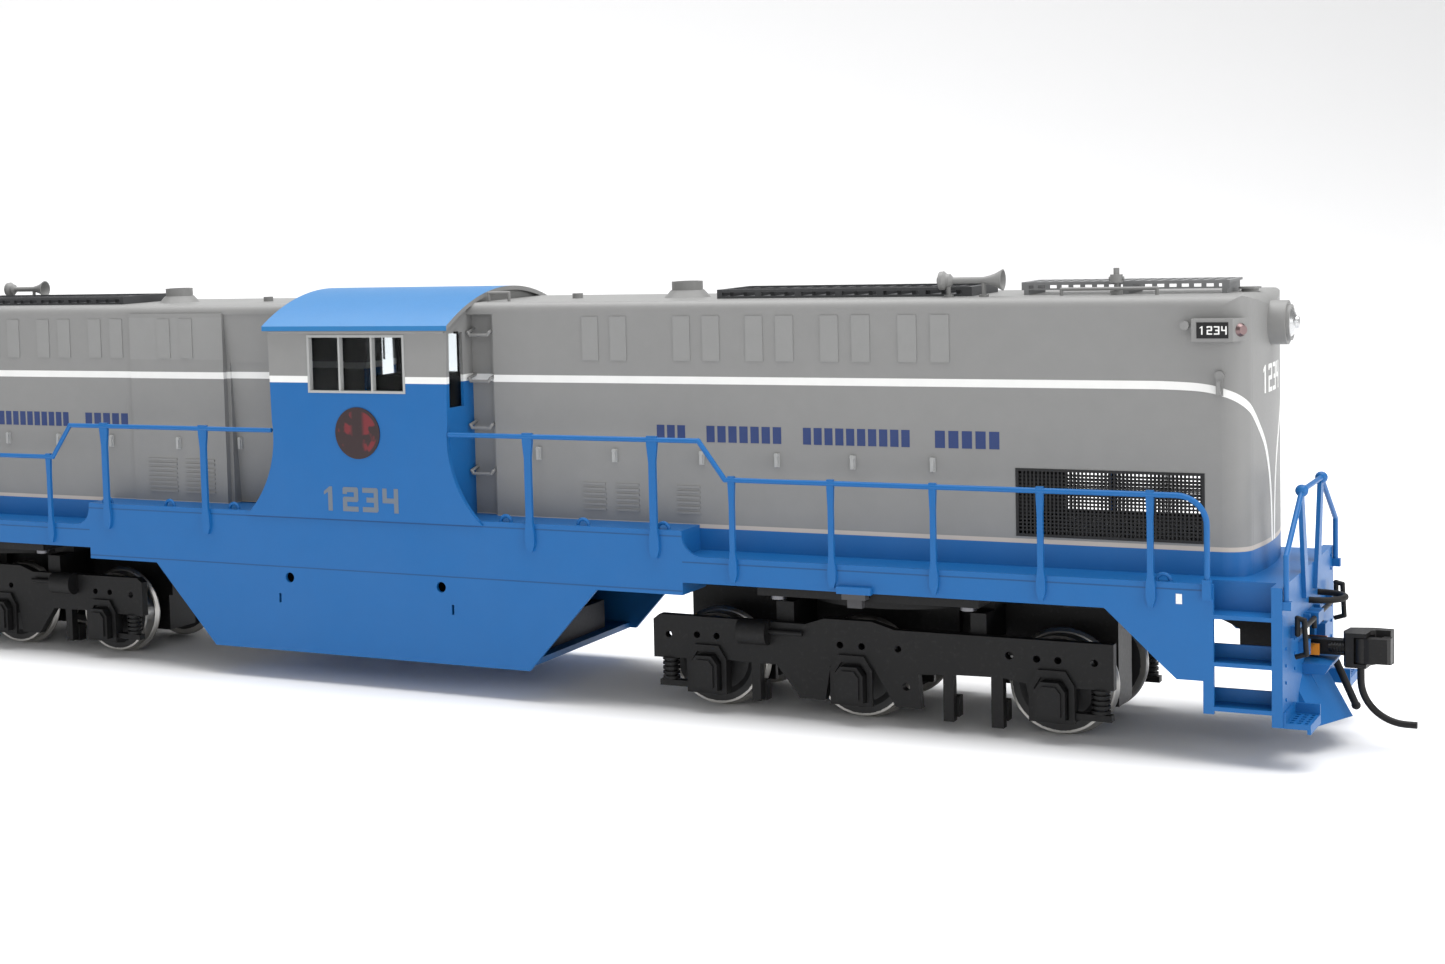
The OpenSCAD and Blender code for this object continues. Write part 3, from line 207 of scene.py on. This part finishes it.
def hood_paint():
    """Grey with a blue foot, a pale line over it and the straight white stripe; the inner faces of the hood
    are near black as painted shade.
    """
    t = Tree("hood_two_tone_and_painted_shade")
    z = t.axis("Z")
    x = t.math("ABSOLUTE", t.axis("X"))
    edge = 0.00003
    foot = t.step(z, (BAND_TOP - 0.55) * MM - edge, (BAND_TOP - 0.55) * MM + edge)
    line = t.step(z, BAND_TOP * MM - edge, BAND_TOP * MM + edge)
    colour = t.mix(foot, BLUE, TAN)
    colour = t.mix(line, colour, GREY)
    off = t.math("ABSOLUTE", t.math("SUBTRACT", z, STRIPE_Z * MM))
    band = t.math("SUBTRACT", 1.0, t.step(off, STRIPE_HALF * MM - edge, STRIPE_HALF * MM + edge))
    straight = t.math("SUBTRACT", 1.0, t.step(x, STRIPE_BEND_X * MM, STRIPE_BEND_X * MM + HAIR))
    colour = t.mix(t.math("MULTIPLY", band, straight), colour, WHITE)
    y = t.math("ABSOLUTE", t.axis("Y"))
    doors = t.math("MULTIPLY", t.within(z, DOOR_Z), t.step(y, DOOR_FACE_Y * MM, DOOR_FACE_Y * MM + HAIR))
    colour = t.mix(t.math("MULTIPLY", doors, 0.22), colour, srgb(150, 151, 150))
    # Inner faces of the hood walls go near black: painted shade behind the grilles.
    inner = t.math("SUBTRACT", 1.0, t.step(y, HOOD_INNER * MM, HOOD_INNER * MM + HAIR))
    below = t.math("SUBTRACT", 1.0, t.step(z, HOOD_INNER_TOP * MM, HOOD_INNER_TOP * MM + HAIR))
    painted_shade_inside = t.math("MULTIPLY", t.math("MULTIPLY", inner, t.within(x, HOOD_INNER_X)), below)
    colour = t.mix(painted_shade_inside, colour, (0.004, 0.004, 0.004, 1.0))
    return paint_surface(t, colour, 0.45)


def walkway_paint():
    """Blue with the dark edge lines of the decks and the tank seam."""
    t = Tree("walkway_edge_paint")
    z = t.axis("Z")
    outer = t.step(t.math("ABSOLUTE", t.axis("Y")), SILL_FACE_Y * MM, SILL_FACE_Y * MM + HAIR)
    x = t.math("ABSOLUTE", t.axis("X"))
    high = t.math("SUBTRACT", 1.0, t.step(x, HIGH_DECK_END * MM, HIGH_DECK_END * MM + HAIR))
    lines = None
    low = t.math("SUBTRACT", 1.0, high)
    for level, where in [(line, high) for line in DECK_LINES] + [(LOW_DECK_LINE, low)]:
        off = t.math("ABSOLUTE", t.math("SUBTRACT", z, level * MM))
        line = t.math("MULTIPLY", where, t.math("SUBTRACT", 1.0, t.step(off, 0.00008, 0.00012)))
        lines = line if lines is None else t.math("MAXIMUM", lines, line)
    amount = t.math("MULTIPLY", t.math("MULTIPLY", lines, outer), 0.45)
    return paint_surface(t, t.mix(amount, BLUE, (0.0, 0.01, 0.04, 1.0)))


def fitting_paint():
    """Blue deck rings and jack pads, with the grey block under each pad."""
    t = Tree("fitting_two_tone_paint")
    return paint_surface(t, t.mix(t.step(t.axis("Z"), 0.01799, 0.01801), srgb(62, 62, 64), BLUE))


def cab_paint():
    """Blue below the white line, grey above, and near black on the inside faces as painted shade."""
    t = Tree("cab_two_tone_and_painted_shade")
    z = t.axis("Z")
    edge = 0.00003
    low, high = (v * MM for v in CAB_LINE_Z)
    colour = t.mix(t.step(z, low - edge, low + edge), BLUE, WHITE)
    colour = t.mix(t.step(z, high - edge, high + edge), colour, GREY)
    # Inside faces of the cab walls go near black: painted shade inside the cab.
    inner = None
    for letter, half in zip("XY", CAB_INNER):
        size = t.math("ABSOLUTE", t.axis(letter))
        span = t.math("SUBTRACT", 1.0, t.step(size, half * MM, half * MM + edge))
        inner = span if inner is None else t.math("MULTIPLY", inner, span)
    colour = t.mix(inner, colour, (0.012, 0.012, 0.012, 1.0))
    return paint_surface(t, colour, 0.42)


def roof_paint():
    """Blue on top, grey on the underside and the end edges; the blue is the body blue lightened as a
    painted highlight.
    """
    t = Tree("roof_two_tone_and_painted_highlight")
    geo = t.node("ShaderNodeNewGeometry")
    parts = t.node("ShaderNodeSeparateXYZ")
    t.link(geo.outputs["True Normal"], parts.inputs[0])
    up = t.step(parts.outputs["Z"], 0.02, 0.06)
    side = t.step(t.math("ABSOLUTE", parts.outputs["Y"]), 0.75, 0.9)
    top = t.math("MAXIMUM", up, side)
    return paint_surface(t, t.mix(top, GREY, ROOF_BLUE_PAINTED_HIGHLIGHT), 0.4)


def black_finish(name, colour, rough=0.5, streak=0.25):
    """Satin black casting with a dusty grey bloom on its grain."""
    t = Tree(name)
    grain = t.noise(1900.0, 5.0, 0.65)
    broad = t.noise(150.0, 3.0, 0.5)
    dusty = t.mix(t.math("MULTIPLY", t.step(grain, 0.5, 0.85), streak), colour, (0.06, 0.06, 0.06, 1.0))
    t.set("Base Color", t.mix(t.spread(broad, 0.0, 0.08), dusty, (0.04, 0.039, 0.037, 1.0)))
    t.shader.inputs["Specular IOR Level"].default_value = 0.25
    t.set("Roughness", t.spread(grain, rough - 0.10, rough + 0.12))
    t.bump(grain, 0.3, 0.00003)
    return t.mat


def metal_finish(name, colour, rough=0.3, turned=None, tarnish=0.3):
    """Turned or plated metal with fine tool marks and some tarnish."""
    t = Tree(name)
    marks = t.noise(3000.0, 4.0, 0.6, t.stretch(*(turned or (1.0, 1.0, 1.0))))
    cloud = t.noise(260.0, 4.0, 0.6)
    dull = tuple(c * 0.55 for c in colour[:3]) + (1.0,)
    t.set("Base Color", t.mix(t.math("MULTIPLY", cloud, tarnish), colour, dull))
    t.shader.inputs["Metallic"].default_value = 1.0
    t.set("Roughness", t.spread(marks, rough - 0.08, rough + 0.12))
    t.bump(marks, 0.22, 0.00003)
    return t.mat


def wheel_finish(name, centre_x):
    """Blackened wheel with a bright tread and rim, worn where it rolls."""
    t = Tree(name)
    dx = t.math("SUBTRACT", t.axis("X"), centre_x)
    dz = t.math("SUBTRACT", t.axis("Z"), AXLE_Z * MM)
    radius = t.math("SQRT", t.math("ADD", t.math("MULTIPLY", dx, dx), t.math("MULTIPLY", dz, dz)))
    grain = t.noise(2200.0, 4.0, 0.6)
    ragged = t.math("ADD", radius, t.math("MULTIPLY", t.math("SUBTRACT", grain, 0.5), 0.0002))
    bright = t.step(ragged, RIM_R[0] * MM, RIM_R[1] * MM)
    y = t.math("ABSOLUTE", t.axis("Y"))
    axle = t.math("SUBTRACT", 1.0, t.step(y, 0.0060, 0.0062))
    bright = t.math("MAXIMUM", bright, axle)
    t.set("Base Color", t.mix(bright, (0.012, 0.012, 0.013, 1.0), (0.42, 0.41, 0.39, 1.0)))
    t.set("Metallic", bright)
    t.set("Roughness", t.math("SUBTRACT", t.spread(grain, 0.42, 0.6), t.math("MULTIPLY", bright, 0.2)))
    t.bump(grain, 0.25, 0.00003)
    return t.mat


def glass_finish(name, tint):
    """Clear glazing with a faint uneven film."""
    t = Tree(name)
    film = t.noise(500.0, 4.0, 0.6)
    t.set("Base Color", t.mix(t.spread(film, 0.0, 0.08), tint, (0.8, 0.8, 0.8, 1.0)))
    t.shader.inputs["Transmission Weight"].default_value = 1.0
    t.set("Roughness", t.spread(film, 0.03, 0.09))
    t.shader.inputs["IOR"].default_value = 1.15
    return t.mat


def emblem_finish():
    """Dark disc with a generic ring and dull red bars."""
    t = Tree("emblem_print")
    dx = t.math("ABSOLUTE", t.axis("X"))
    dz = t.math("SUBTRACT", t.axis("Z"), EMBLEM_Z * MM)
    radius = t.math("SQRT", t.math("ADD", t.math("MULTIPLY", dx, dx), t.math("MULTIPLY", dz, dz)))
    patches = t.noise(420.0, 2.0, 0.5)
    red = t.step(patches, 0.5, 0.56)
    inner = t.math("SUBTRACT", 1.0, t.step(radius, 3.1 * MM, 3.3 * MM))
    edge = t.step(dx, 0.6 * MM, 1.4 * MM)
    amount = t.math("MULTIPLY", t.math("MULTIPLY", red, inner), edge)
    t.set("Base Color", t.mix(amount, srgb(36, 12, 16), srgb(104, 18, 28)))
    t.set("Roughness", t.spread(t.noise(2500.0), 0.4, 0.55))
    t.bump(t.noise(3500.0), 0.2, 0.00002)
    return t.mat


MATS = {
    "blue": plain_paint("blue_paint_finish", BLUE),
    "grey": plain_paint("grey_paint_finish", GREY, 0.45),
    "latch": plain_paint("latch_paint_finish", srgb(163, 164, 163), 0.4),
    "white": plain_paint("white_paint_finish", WHITE, 0.5, 0.2, 0.02),
    "navy": plain_paint("navy_print_finish", NAVY, 0.5, 0.2, 0.03),
    "number": plain_paint("number_print_finish", srgb(100, 110, 122), 0.5, 0.2, 0.03),
    "dark_grey": plain_paint("dark_grey_paint_finish", srgb(66, 67, 69), 0.5),
    "board_grey": plain_paint("board_grey_paint_finish", srgb(124, 125, 126), 0.5),
    "fittings": fitting_paint(),
    "walkway": walkway_paint(),
    "hood": hood_paint(),
    "cab": cab_paint(),
    "roof": roof_paint(),
    "black": black_finish("satin_black_finish", srgb(14, 14, 15)),
    "plastic": black_finish("black_plastic_finish", srgb(16, 15, 15), 0.45, 0.3),
    "rubber": black_finish("rubber_finish", srgb(24, 23, 23), 0.62, 0.2),
    # Black grille mesh; the same finish on the hood shelves is painted shade.
    "mesh": black_finish("mesh_black_and_painted_shade_finish", srgb(38, 38, 39), 0.6, 0.1),
    "interior": black_finish("interior_finish", srgb(30, 31, 31), 0.7, 0.2),
    "plate": black_finish("plate_finish", srgb(30, 30, 31), 0.3, 0.05),
    "bronze": metal_finish("bronze_finish", srgb(232, 142, 52), 0.3),
    "steel": metal_finish("steel_finish", srgb(178, 178, 180), 0.3, (1.0, 0.05, 0.05)),
    "zinc": metal_finish("zinc_finish", srgb(150, 152, 155), 0.38, (0.1, 1.0, 1.0)),
    "brass": metal_finish("brass_finish", srgb(205, 172, 100), 0.28, (1.0, 0.05, 0.05)),
    "iron": metal_finish("cast_weight_finish", srgb(60, 60, 63), 0.55),
    "screw": metal_finish("screw_finish", srgb(120, 120, 124), 0.4),
    "glass": glass_finish("clear_glass_finish", srgb(236, 240, 242)),
    "lens": metal_finish("lens_silver_finish", srgb(196, 197, 198), 0.22),
    "red_lens": metal_finish("rose_lens_finish", srgb(128, 108, 108), 0.35),
    "emblem": emblem_finish(),
}

NODE_MATS = {
    "underframe": "black", "walkway": "walkway", "step_wells": "blue", "pilot_front": "blue",
    "pilot_rear": "blue", "hood_front": "hood", "hood_rear": "hood", "hood_latches": "latch",
    "radiators": "dark_grey", "exhaust_stacks": "grey", "horns": "grey", "roof_fittings": "grey",
    "running_boards": "board_grey", "cab_body": "cab", "cab_roof": "roof", "window_frames": "grey",
    "cab_glass": "glass", "cab_interior": "interior", "wipers": "black", "emblem_discs": "emblem",
    "nose_lights": "grey", "headlight_lenses": "lens", "number_plates": "plate",
    "marker_lenses": "red_lens", "grab_irons": "grey", "lift_hooks": "grey",
    "walkway_fittings": "fittings", "rail_left": "blue", "rail_right": "blue", "end_rails": "blue",
    "cut_levers": "black", "train_hoses": "rubber", "coupler_boxes": "plastic",
    "centring_springs": "bronze", "motor_can": "zinc", "ballast_weight": "iron",
    "fixing_screws": "screw", "rotor": "brass", "drive_shaft_front": "steel",
    "drive_shaft_rear": "steel", "truck_front": "black", "truck_rear": "black",
    "gearbox_front": "plastic", "gearbox_rear": "plastic", "cup_shaft_front": "brass",
    "cup_shaft_rear": "brass", "worm_shaft_front": "steel", "worm_shaft_rear": "steel",
    "coupler_front": "plastic", "coupler_rear": "plastic", "knuckle_front": "plastic",
    "knuckle_rear": "plastic", "side_grilles": "mesh",
}
WHEELS = ("wheelset_f1", "wheelset_f2", "wheelset_f3", "wheelset_r1", "wheelset_r2", "wheelset_r3")


def dress(node, material):
    data = NODES[node].data
    data.materials.clear()
    data.materials.append(material)


for node_name, mat_name in NODE_MATS.items():
    dress(node_name, MATS[mat_name])
for wheel in WHEELS:
    low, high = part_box(wheel)
    dress(wheel, wheel_finish(wheel + "_finish", (low.x + high.x) / 2))


# ---------- pieces ----------

def piece(name, bm, mat):
    """A new mesh object in the row frame, from millimetres."""
    bmesh.ops.recalc_face_normals(bm, faces=bm.faces)
    bm.transform(Matrix.Scale(MM, 4))
    mesh = bpy.data.meshes.new(name)
    bm.to_mesh(mesh)
    bm.free()
    mesh.materials.append(MATS[mat])
    obj = bpy.data.objects.new(name, mesh)
    bpy.context.scene.collection.objects.link(obj)
    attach(obj, BODY)
    return obj


def add_box(bm, lo, hi):
    xs, ys, zs = zip(lo, hi)
    corners = [bm.verts.new((x, y, z)) for x in xs for y in ys for z in zs]
    for ids in ((0, 1, 3, 2), (4, 6, 7, 5), (0, 4, 5, 1), (2, 3, 7, 6), (0, 2, 6, 4), (1, 5, 7, 3)):
        bm.faces.new([corners[i] for i in ids])


def slab(bm, loop, place):
    """A closed thin plate over a surface: place(s, z, height) gives a point of it."""
    inner = [bm.verts.new(place(s, z, -0.01)) for s, z in loop]
    outer = [bm.verts.new(place(s, z, DECAL)) for s, z in loop]
    bm.faces.new(inner)
    bm.faces.new(list(reversed(outer)))
    for i in range(len(loop)):
        j = (i + 1) % len(loop)
        bm.faces.new((inner[j], inner[i], outer[i], outer[j]))


def turned(bm):
    """Adds the same geometry turned half round for the rear end."""
    source = bm.faces[:] + bm.edges[:] + bm.verts[:]
    twin = bmesh.ops.duplicate(bm, geom=source)["geom"]
    verts = [g for g in twin if isinstance(g, bmesh.types.BMVert)]
    bmesh.ops.rotate(bm, verts=verts, cent=(0, 0, 0), matrix=Matrix.Rotation(math.pi, 3, "Z"))


CORNER_Y = HOOD_HALF - CORNER_R
BULGE_X = NOSE_X - NOSE_R
CORNER_X = BULGE_X + math.sqrt((NOSE_R - CORNER_R) ** 2 - CORNER_Y ** 2)
BULGE_A = math.asin(CORNER_Y / (NOSE_R - CORNER_R))
CORNER_ARC = CORNER_R * (math.pi / 2 - BULGE_A)


def hood_wall(s, z, h, side=-1):
    """Point on the hood wall, s along its plan from x = s on the side to the nose centre, h outward."""
    if s <= CORNER_X:
        x, y = s, -(HOOD_HALF + h)
    elif s <= CORNER_X + CORNER_ARC:
        a = -math.pi / 2 + (s - CORNER_X) / CORNER_R
        x = CORNER_X + (CORNER_R + h) * math.cos(a)
        y = -CORNER_Y + (CORNER_R + h) * math.sin(a)
    else:
        a = -BULGE_A + (s - CORNER_X - CORNER_ARC) / NOSE_R
        x = BULGE_X + (NOSE_R + h) * math.cos(a)
        y = (NOSE_R + h) * math.sin(a)
    return (x, y * -side, z)


def nose_stripes():
    """White line that leaves the side stripe and sweeps down the nose."""
    control = ((105.0, STRIPE_Z), (STRIPE_BEND_X, STRIPE_Z), (114.0, 44.15), (117.0, 43.4),
               (119.3, 42.1), (122.6, 39.5), (126.1, 36.0), (128.2, 31.0), (128.9, 24.6),
               (128.9, 20.0))
    line = []
    for p0, p1, p2, p3 in zip(control, control[1:], control[2:], control[3:]):
        for k in range(8):
            t = k / 8
            line.append(tuple(b + t * (c - a) / 2 + t * t * (2 * a - 5 * b + 4 * c - d) / 2
                              + t ** 3 * (3 * b - a - 3 * c + d) / 2 for a, b, c, d in zip(p0, p1, p2, p3)))
    line.append(control[-2])
    steps = len(line) - 1
    bm = bmesh.new()
    for side in (-1, 1):
        rings = []
        for i, (s, z) in enumerate(line):
            a = line[max(i - 1, 0)]
            b = line[min(i + 1, steps)]
            ds, dz = b[0] - a[0], b[1] - a[1]
            size = math.hypot(ds, dz)
            half = STRIPE_HALF * (1.0 - 0.3 * i / steps)
            ns, nz = -dz / size * half, ds / size * half
            rings.append([bm.verts.new(hood_wall(s + k * ns, z + k * nz, h, side))
                          for k, h in ((1, -0.01), (1, DECAL), (-1, DECAL), (-1, -0.01))])
        for a, b in zip(rings, rings[1:]):
            for k in range(4):
                n = (k + 1) % 4
                bm.faces.new((a[k], a[n], b[n], b[k]))
        bm.faces.new(rings[0])
        bm.faces.new(list(reversed(rings[-1])))
    turned(bm)
    piece("nose_stripes", bm, "white")


def digit(kind, w, h, t):
    """Block figure as one outline."""
    m0, m1 = (h - t) / 2, (h + t) / 2
    if kind == "1":
        return [(w * 0.32, 0), (w * 0.32 + t, 0), (w * 0.32 + t, h), (w * 0.32 + t * 0.4, h),
                (w * 0.05, h - t), (w * 0.05, h - t * 1.7), (w * 0.32, h - t * 1.1)]
    if kind == "2":
        return [(0, 0), (w, 0), (w, t), (t, t), (t, m0), (w - t * 0.3, m0), (w, m0 + t * 0.3),
                (w, h - t * 0.3), (w - t * 0.3, h), (t * 0.3, h), (0, h - t * 0.3), (0, h - t * 1.4),
                (t, h - t * 1.4), (t, h - t), (w - t, h - t), (w - t, m1), (t * 0.3, m1),
                (0, m1 - t * 0.3)]
    if kind == "3":
        return [(0, 0), (w - t * 0.3, 0), (w, t * 0.3), (w, h - t * 0.3), (w - t * 0.3, h), (0, h),
                (0, h - t), (w - t, h - t), (w - t, m1), (w * 0.25, m1), (w * 0.25, m0), (w - t, m0),
                (w - t, t), (0, t)]
    return [(w - t, 0), (w, 0), (w, h), (w - t, h), (w - t, m1), (t, m1), (t, h), (0, h), (0, m0),
            (w - t, m0)]


def figures(bm, place, start, base, width, height, stroke, gap, flip=1):
    """Four generic figures along s; flip -1 runs towards lower s."""
    for i, kind in enumerate("1234"):
        shape = digit(kind, width, height, stroke)
        s0 = start + flip * i * (width + gap)
        slab(bm, [(s0 + flip * a, base + b) for a, b in shape], place)


def number_prints():
    """Cab side, nose and number plate figures."""
    bm = bmesh.new()
    figures(bm, lambda s, z, h: (s, -CAB_SIDE_Y - h, z), -6.2, 25.6, 2.6, 3.5, 0.72, 0.72)
    figures(bm, lambda s, z, h: (s, CAB_SIDE_Y + h, z), 6.2, 25.6, 2.6, 3.5, 0.72, 0.72, -1)
    piece("cab_side_figures", bm, "number")
    bm = bmesh.new()

    def nose(s, z, h):
        a = math.asin(s / NOSE_R)
        return (BULGE_X + (NOSE_R + h) * math.cos(a), (NOSE_R + h) * math.sin(a), z)
    figures(bm, nose, -4.8, 42.9, 1.95, 3.4, 0.52, 0.6)
    turned(bm)
    piece("nose_figures", bm, "white")
    bm = bmesh.new()
    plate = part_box("number_plates")
    face = plate[1].y / MM
    figures(bm, lambda s, z, h: (s, -face - h, z), 114.15, 50.55, 0.62, 1.0, 0.16, 0.2)
    figures(bm, lambda s, z, h: (s, face + h, z), 117.05, 50.55, 0.62, 1.0, 0.16, 0.2, -1)
    turned(bm)
    piece("number_plate_figures", bm, "white")


def word_bars():
    """Plain navy bars where the hood carries its lettering."""
    bm = bmesh.new()
    near = ((43.5, 48.0, 3), (50.7, 61.6, 7), (64.2, 78.8, 10), (81.7, 90.3, 5))
    far = ((92.4, 87.9, 3), (85.2, 74.4, 7), (71.7, 57.1, 10), (54.1, 45.3, 5))
    for groups, side in ((near, -1), (far, 1)):
        for s0, s1, count in groups:
            pitch = (s1 - s0) / count
            for i in range(count):
                a, b = s0 + pitch * i, s0 + pitch * (i + 0.74)
                proud = 0.42 if side == 1 and min(a, b) < 44.6 else 0.0
                slab(bm, [(a, 36.15), (b, 36.15), (b, 38.35), (a, 38.35)],
                     lambda s, z, h: hood_wall(s, z, h + proud, side))
    turned(bm)
    piece("hood_word_bars", bm, "navy")


def end_ticks():
    """Small white square at the front end of each sill."""
    bm = bmesh.new()
    for y in (-SILL_OUTER_Y, SILL_OUTER_Y):
        s = 1 if y > 0 else -1
        slab(bm, [(112.2, 19.1), (112.9, 19.1), (112.9, 20.3), (112.2, 20.3)],
             lambda a, z, h: (a, y + s * h, z))
    piece("front_end_ticks", bm, "white")


def fine_grilles():
    """Etched mesh in the four hood openings."""
    bm = bmesh.new()
    x0, x1 = 91.8, 114.3
    z0, z1 = 25.4, 33.9
    frame_w, bar, across, up = 0.35, 0.2, 45, 17
    for side in (-1, 1):
        y0, y1 = sorted((side * 11.45, side * 11.68))
        add_box(bm, (x0, y0, z0), (x0 + frame_w, y1, z1))
        add_box(bm, (x1 - frame_w, y0, z0), (x1, y1, z1))
        add_box(bm, (x0 + frame_w, y0, z0), (x1 - frame_w, y1, z0 + frame_w))
        add_box(bm, (x0 + frame_w, y0, z1 - frame_w), (x1 - frame_w, y1, z1))
        pitch_x = (x1 - x0 - 2 * frame_w) / across
        pitch_z = (z1 - z0 - 2 * frame_w) / up
        m0, m1 = sorted((side * 11.5, side * 11.6))
        n0, n1 = sorted((side * 11.42, side * 11.5))
        for i in range(1, across):
            x = x0 + frame_w + pitch_x * i
            add_box(bm, (x - bar / 2, m0, z0 + frame_w), (x + bar / 2, m1, z1 - frame_w))
        for j in range(1, up):
            z = z0 + frame_w + pitch_z * j
            add_box(bm, (x0 + frame_w, n0, z - bar / 2), (x1 - frame_w, n1, z + bar / 2))
    turned(bm)
    mesh = piece("fine_side_grilles", bm, "mesh")
    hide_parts("side_grilles")


def fine_frames():
    """Thin frames and pane bars of the cab side windows."""
    bm = bmesh.new()
    half, z0, z1, rim, bar = 8.1, 42.6, 50.9, 0.34, 0.3
    for side in (-1, 1):
        y0, y1 = sorted((side * 17.2, side * 18.1))
        for x in (-half, half - rim):
            add_box(bm, (x, y0, z0), (x + rim, y1, z1))
        for z in (z0, z1 - rim):
            add_box(bm, (-half + rim, y0, z), (half - rim, y1, z + rim))
        for x in (-half / 3, half / 3):
            add_box(bm, (x - bar / 2, y0, z0 + rim), (x + bar / 2, y1, z1 - rim))
    frames = piece("fine_window_frames", bm, "latch")
    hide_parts("window_frames")


def gutters():
    """Half-round rain strip under each cab eave."""
    bm = bmesh.new()
    for side in (-1, 1):
        steps = 8
        rings = []
        for x in (-14.6, 14.6):
            ring = []
            for k in range(steps + 1):
                a = -math.pi / 2 + math.pi * k / steps
                y = side * (CAB_SIDE_Y + 0.28 * math.cos(a))
                ring.append(bm.verts.new((x, y, 51.42 + 0.32 * math.sin(a))))
            rings.append(ring)
        for k in range(steps):
            bm.faces.new((rings[0][k], rings[0][k + 1], rings[1][k + 1], rings[1][k]))
        bm.faces.new((rings[0][0], rings[1][0], rings[1][steps], rings[0][steps]))
        bm.faces.new(rings[0])
        bm.faces.new(list(reversed(rings[1])))
    piece("cab_gutters", bm, "grey")


def hood_shade_shelves():
    """Dark shelf that closes each hood from below behind the grilles, as painted shade inside the hood."""
    bm = bmesh.new()
    add_box(bm, (88.0, -10.7, 25.0), (117.0, 10.7, 25.2))
    turned(bm)
    piece("hood_shade_shelves", bm, "mesh")


nose_stripes()
number_prints()
word_bars()
end_ticks()
fine_grilles()
fine_frames()
gutters()
hood_shade_shelves()


# ---------- stage ----------

def backdrop():
    """Pale sweep: a floor that curves up behind the model."""
    radius, front, back, wide, rise = 0.9, -2.2, 1.6, 4.0, 3.0
    line = [(front, 0.0), (back - radius, 0.0)]
    bends = 16
    for i in range(1, bends + 1):
        a = math.pi / 2 * i / bends
        line.append((back - radius + radius * math.sin(a), radius - radius * math.cos(a)))
    line.append((back, rise))
    mesh = bpy.data.meshes.new("studio_sweep")
    verts = [(x, y, z) for y, z in line for x in (-wide, wide)]
    faces = [(2 * i, 2 * i + 1, 2 * i + 3, 2 * i + 2) for i in range(len(line) - 1)]
    mesh.from_pydata(verts, [], faces)
    for poly in mesh.polygons:
        poly.use_smooth = True
    obj = bpy.data.objects.new("studio_sweep", mesh)
    obj.rotation_euler = (0, 0, math.radians(31.8))
    bpy.context.scene.collection.objects.link(obj)
    t = Tree("sweep_finish")
    cloud = t.spread(t.noise(2.0), 0.0, 0.02)
    t.set("Base Color", t.mix(cloud, (0.93, 0.93, 0.935, 1.0), (0.8, 0.8, 0.8, 1.0)))
    t.shader.inputs["Roughness"].default_value = 0.8
    mesh.materials.append(t.mat)


def area_light(name, place, aim, size, power, colour=(1, 1, 1)):
    data = bpy.data.lights.new(name, "AREA")
    data.shape = "RECTANGLE"
    data.size, data.size_y = size
    data.energy = power
    data.color = colour
    obj = bpy.data.objects.new(name, data)
    obj.location = place
    obj.rotation_euler = (Vector(aim) - Vector(place)).to_track_quat("-Z", "Y").to_euler()
    bpy.context.scene.collection.objects.link(obj)
    return obj


def studio():
    world = bpy.data.worlds.new("studio_world")
    bpy.context.scene.world = world
    world.use_nodes = True
    background = world.node_tree.nodes["Background"]
    background.inputs["Color"].default_value = (1.0, 1.0, 1.0, 1.0)
    background.inputs["Strength"].default_value = 0.46
    area_light("top_soft_box", (0.0, 0.1, 0.95), (0.0, 0.0, 0.0), (1.4, 1.0), 19.0)
    area_light("front_soft_box", (0.5, -1.1, 0.45), (0.0, 0.0, 0.03), (0.9, 0.6), 2.5)
    area_light("nose_soft_box", (1.3, -0.25, 0.3), (0.12, 0.0, 0.03), (0.6, 0.5), 5.0)
    bpy.context.scene.view_settings.view_transform = "Standard"


def camera():
    """Camera at the photograph's angle, with the shift that its framing needs."""
    yaw, pitch, roll = (math.radians(v) for v in (31.8, 4.23, -1.99))
    ahead = Vector((-math.sin(yaw) * math.cos(pitch), math.cos(yaw) * math.cos(pitch), -math.sin(pitch)))
    right0 = Vector((math.cos(yaw), math.sin(yaw), 0.0))
    up0 = right0.cross(ahead)
    right = right0 * math.cos(roll) + up0 * math.sin(roll)
    up = up0 * math.cos(roll) - right0 * math.sin(roll)
    data = bpy.data.cameras.new("camera")
    data.sensor_width = 36.0
    data.lens = 57.77
    data.shift_x = 0.2555
    data.shift_y = -0.0708
    data.clip_start = 0.01
    data.clip_end = 50.0
    obj = bpy.data.objects.new("camera", data)
    obj.matrix_world = Matrix((
        (right.x, up.x, -ahead.x, 0.17304), (right.y, up.y, -ahead.y, -0.29778),
        (right.z, up.z, -ahead.z, 0.06889), (0, 0, 0, 1)))
    bpy.context.scene.collection.objects.link(obj)
    bpy.context.scene.camera = obj


backdrop()
studio()
camera()
